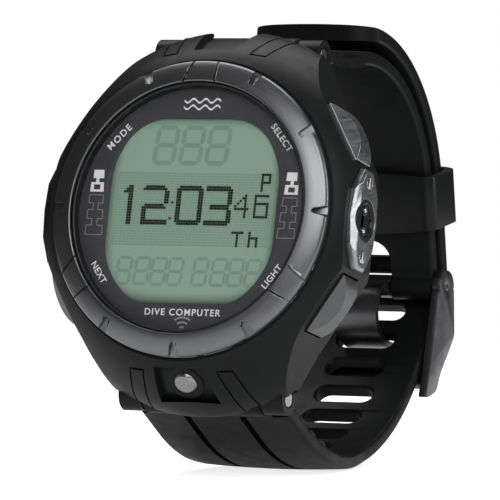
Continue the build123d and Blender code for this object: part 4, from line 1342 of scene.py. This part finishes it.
# ---- case, buttons and port, on the CAD shapes ----
class DIVE_OT_case(Operator):
    """Finishes the moulded case, its back, the screws and the lug bars."""

    bl_idname = "dive.case"
    bl_label = "Case and back"

    def execute(self, context):
        s = settings("case")
        rubber = moulded("case_rubber", tint(s.rubber), 0.42, 0.0015, mottle=0.1, size=2400, gloss=0.14)
        dress("case_body", "case_shell", rubber)
        steel = polished("back_steel", (0.42, 0.42, 0.43), 0.28)
        back = turned_metal("back_metal", (0.3, 0.3, 0.31), 0.34)
        hatch = moulded("hatch_plastic", (0.012, 0.012, 0.013), 0.42, 0.008)
        dress("case_back", "back_plate", back, 0.12)
        dress("battery_hatch", "hatch", hatch, 0.12)
        dress("hatch_lock_ring", "lock_ring_finish", hatch, 0.12, body="lock_ring")
        dress("case_back_screws", "back_screws", steel, 0.05)
        pin = polished("pin_metal", (0.42, 0.42, 0.43), 0.24)
        for node in ("upper_lug_bar", "lower_lug_bar"):
            dress(node, node + "_finish", pin, 0.12, 3)
        return {"FINISHED"}


BUTTONS = ("mode", "select", "advance", "light")


class DIVE_OT_buttons(Operator):
    """Finishes the four buttons, with painted light on the upper pair and painted shade on the lower pair.
    """

    bl_idname = "dive.buttons"
    bl_label = "Buttons"

    def execute(self, context):
        s = settings("case")
        # lit and shaded copies of one brushed metal: painted light on the upper buttons, painted shade on
        # the lower ones
        light = brushed("button_light", tint(s.lit_button_metal), 0.33, (1, 1, 8), 0.0006, 420, 0.03)
        shaded_button = brushed("button_painted_shade", tint(s.shaded_button_metal), 0.36, (1, 1, 8), 0.0006, 420, 0.03)
        for name in BUTTONS:
            upper = name in ("mode", "select")
            metal, node = light if upper else shaded_button, "button_" + name
            dress(node, "cap_" + name, metal, 0.2, 3, 25, body=node)
        return {"FINISHED"}


class DIVE_OT_port(Operator):
    """Finishes the side port, its pins and screws, and the wet contact."""

    bl_idname = "dive.port"
    bl_label = "Port and wet contact"

    def execute(self, context):
        s = settings("case")
        plate = brushed("plate_metal", tint(s.plate), 0.33, (1, 1, 8), 0.0006, 420, 0.03)
        insert = moulded("insert_plastic", (0.008, 0.008, 0.009), 0.28, 0.003)
        bright = polished("bright_metal", (0.6, 0.6, 0.61), 0.16)
        stud = polished("stud_metal", (0.3, 0.3, 0.31), 0.3)
        dress("port_plate", "port_cover", plate, 0.18, 3, 25)
        dress("port_insert", "port_socket", insert, 0.1)
        dress("port_pins", "port_pin_pair", bright, 0.04)
        dress("port_screws", "port_screw_pair", bright, 0.08)
        dress("wet_contact", "wet_contact_stud", stud, 0.1)
        return {"FINISHED"}


class DIVE_OT_inside(Operator):
    """Gives the display, the sealed inner pieces and the springs their finishes."""

    bl_idname = "dive.inside"
    bl_label = "Inner pieces"

    def execute(self, context):
        s = settings("dial")
        dial = tint(s.display)
        steel = polished("inner_steel", (0.5, 0.5, 0.51), 0.25)
        chip = moulded("chip_resin", (0.012, 0.012, 0.013), 0.4, 0.006)
        carrier = moulded("carrier_plastic", (0.02, 0.02, 0.021), 0.5, 0.012)
        rubber = moulded("seal_rubber", (0.01, 0.01, 0.01), 0.5, 0.006)
        finishes = {
            # the last colour is the painted shadow at the window's edge
            "lcd_panel": display_glass("lcd_glass", dial, darker(dial, 0.22)),
            "backlight_panel": moulded("backlight", (0.6, 0.75, 0.72), 0.5, 0.002),
            "display_carrier": carrier,
            "battery_cup": carrier,
            "circuit_board": board_lacquer("board"),
            "board_chips": chip,
            "dome_switches": chip,
            "buzzer": chip,
            "antenna_coil": wound_wire("copper"),
            "pressure_sensor": steel,
            "battery_contacts": steel,
            "battery_cell": brushed("cell_metal", (0.55, 0.55, 0.54), 0.3, (1, 1, 6)),
            "hatch_o_ring": rubber,
            "case_back_gasket": rubber,
            "button_seals": rubber,
        }
        for name in BUTTONS:
            finishes["button_spring_" + name] = steel
            finishes["button_clip_" + name] = steel
        for node, material in finishes.items():
            piece = frame["nodes"][node]
            for material_slot in piece.material_slots:
                material_slot.material = material
            if not piece.material_slots:
                piece.data.materials.append(material)
        return {"FINISHED"}


# ---- stage ----
CAMERA_RIGHT = Vector((0.905, 0.426, 0.0))
CAMERA_UP = Vector((-0.0184, 0.0392, 0.999))
CAMERA_BACK = Vector((0.4254, -0.904, 0.0433))
CAMERA_SHIFT = (10.015, -6.833, 971.46)
FLOOR_GLOW = (0.3, 0.8)         # as light on the watch, as seen
SKY_GLOW = (0.06, 1.0)


class DIVE_OT_stage(Operator):
    """Lays the floor, hangs the soft lights and sets the camera."""

    bl_idname = "dive.stage"
    bl_label = "Stage"

    def execute(self, context):
        s = settings("stage")
        self.camera(s.lens)
        self.floor(tint(s.floor))
        self.world()
        middle = FACE_ORIGIN
        # name, azimuth from the face towards 3 o'clock, height angle, distance, size, power
        for name, azimuth, height, distance, size, power in (
            ("key", 30, 32, 0.7, (0.62, 0.46), s.key),
            ("top", 205, 64, 0.6, (0.6, 0.4), s.key * 0.7),
            ("rim", 112, 14, 0.7, (0.16, 0.5), s.key * 0.4),
        ):
            self.softbox(name, middle, azimuth, height, distance, size, power)
        return {"FINISHED"}

    def camera(self, lens):
        x, y, z = CAMERA_SHIFT
        place = FACE_ORIGIN + (CAMERA_RIGHT * x + CAMERA_UP * y + CAMERA_BACK * z) * MM
        bpy.ops.object.camera_add(location=place)
        camera = bpy.context.object
        axes = Matrix([axis.normalized() for axis in (CAMERA_RIGHT, CAMERA_UP, CAMERA_BACK)])
        camera.rotation_euler = axes.transposed().to_euler()
        camera.data.lens = lens
        camera.data.sensor_width = 36
        camera.data.clip_start = 0.01
        bpy.context.scene.camera = camera

    def floor(self, tone):
        only()
        bpy.ops.mesh.primitive_circle_add(vertices=96, radius=0.3, fill_type="NGON")
        floor = bpy.context.object
        floor.name = "floor"
        paper = moulded("floor_paper", tone, 0.9, 0.0, mottle=0.01, gloss=0.0)
        tree = paper.node_tree
        shader = tree.nodes["Principled BSDF"]
        shader.inputs["Emission Color"].default_value = (1, 1, 1, 1)
        tree.links.new(self.for_camera(tree, FLOOR_GLOW), shader.inputs["Emission Strength"])
        floor.data.materials.append(paper)

    def for_camera(self, tree, levels):
        """A brightness with one level for the light that it sheds and one for the camera."""
        paths = tree.nodes.new("ShaderNodeLightPath")
        level = tree.nodes.new("ShaderNodeMapRange")
        level.inputs["To Min"].default_value, level.inputs["To Max"].default_value = levels
        tree.links.new(paths.outputs["Is Camera Ray"], level.inputs["Value"])
        return level.outputs[0]

    def world(self):
        world = bpy.data.worlds.new("studio")
        bpy.context.scene.world = world
        world.use_nodes = True
        tree = world.node_tree
        tree.links.new(self.for_camera(tree, SKY_GLOW), tree.nodes["Background"].inputs["Strength"])
        tree.nodes["Background"].inputs["Color"].default_value = (1, 1, 1, 1)
        bpy.context.scene.view_settings.view_transform = "Standard"

    def softbox(self, name, target, azimuth, height, distance, size, power):
        a, h = math.radians(azimuth), math.radians(height)
        way = Vector((math.sin(a) * math.cos(h), -math.cos(a) * math.cos(h), math.sin(h)))
        bpy.ops.object.light_add(type="AREA", location=target + way * distance)
        lamp = bpy.context.object
        lamp.name = name
        lamp.data.shape = "RECTANGLE"
        lamp.data.size, lamp.data.size_y = size
        lamp.data.energy = power
        lamp.rotation_euler = way.to_track_quat("Z", "Y").to_euler()


# ---- panel ----
STEPS = ("case", "bezel", "dial", "print", "display", "straps", "keeper", "buckle", "buttons")
STEPS += ("port", "inside", "stage")


class DIVE_PT_panel(Panel):
    """Lists the settings and the steps that build the dive computer."""

    bl_idname = "DIVE_PT_panel"
    bl_label = "Dive computer"
    bl_space_type = "VIEW_3D"
    bl_region_type = "UI"
    bl_category = "Dive computer"

    def draw(self, context):
        layout = self.layout
        for group in GROUPS:
            box = layout.box()
            box.label(text=group.title())
            for name in GROUPS[group].__annotations__:
                box.prop(settings(group), name)
        for step in STEPS:
            layout.operator("dive." + step)


GROUPS = {
    "case": DiveCaseSettings,
    "dial": DiveDialSettings,
    "strap": DiveStrapSettings,
    "stage": DiveStageSettings,
}
CLASSES = (
    *GROUPS.values(),
    DIVE_OT_case,
    DIVE_OT_bezel,
    DIVE_OT_dial,
    DIVE_OT_print,
    DIVE_OT_display,
    DIVE_OT_straps,
    DIVE_OT_keeper,
    DIVE_OT_buckle,
    DIVE_OT_buttons,
    DIVE_OT_port,
    DIVE_OT_inside,
    DIVE_OT_stage,
    DIVE_PT_panel,
)


def register():
    for cls in CLASSES:
        bpy.utils.register_class(cls)
    for name, group in GROUPS.items():
        setattr(bpy.types.Scene, "dive_" + name, PointerProperty(type=group))


def unregister():
    for name in GROUPS:
        delattr(bpy.types.Scene, "dive_" + name)
    for cls in reversed(CLASSES):
        bpy.utils.unregister_class(cls)


def main():
    register()
    for step in STEPS:
        getattr(bpy.ops.dive, step)()


if __name__ == "__main__":
    main()
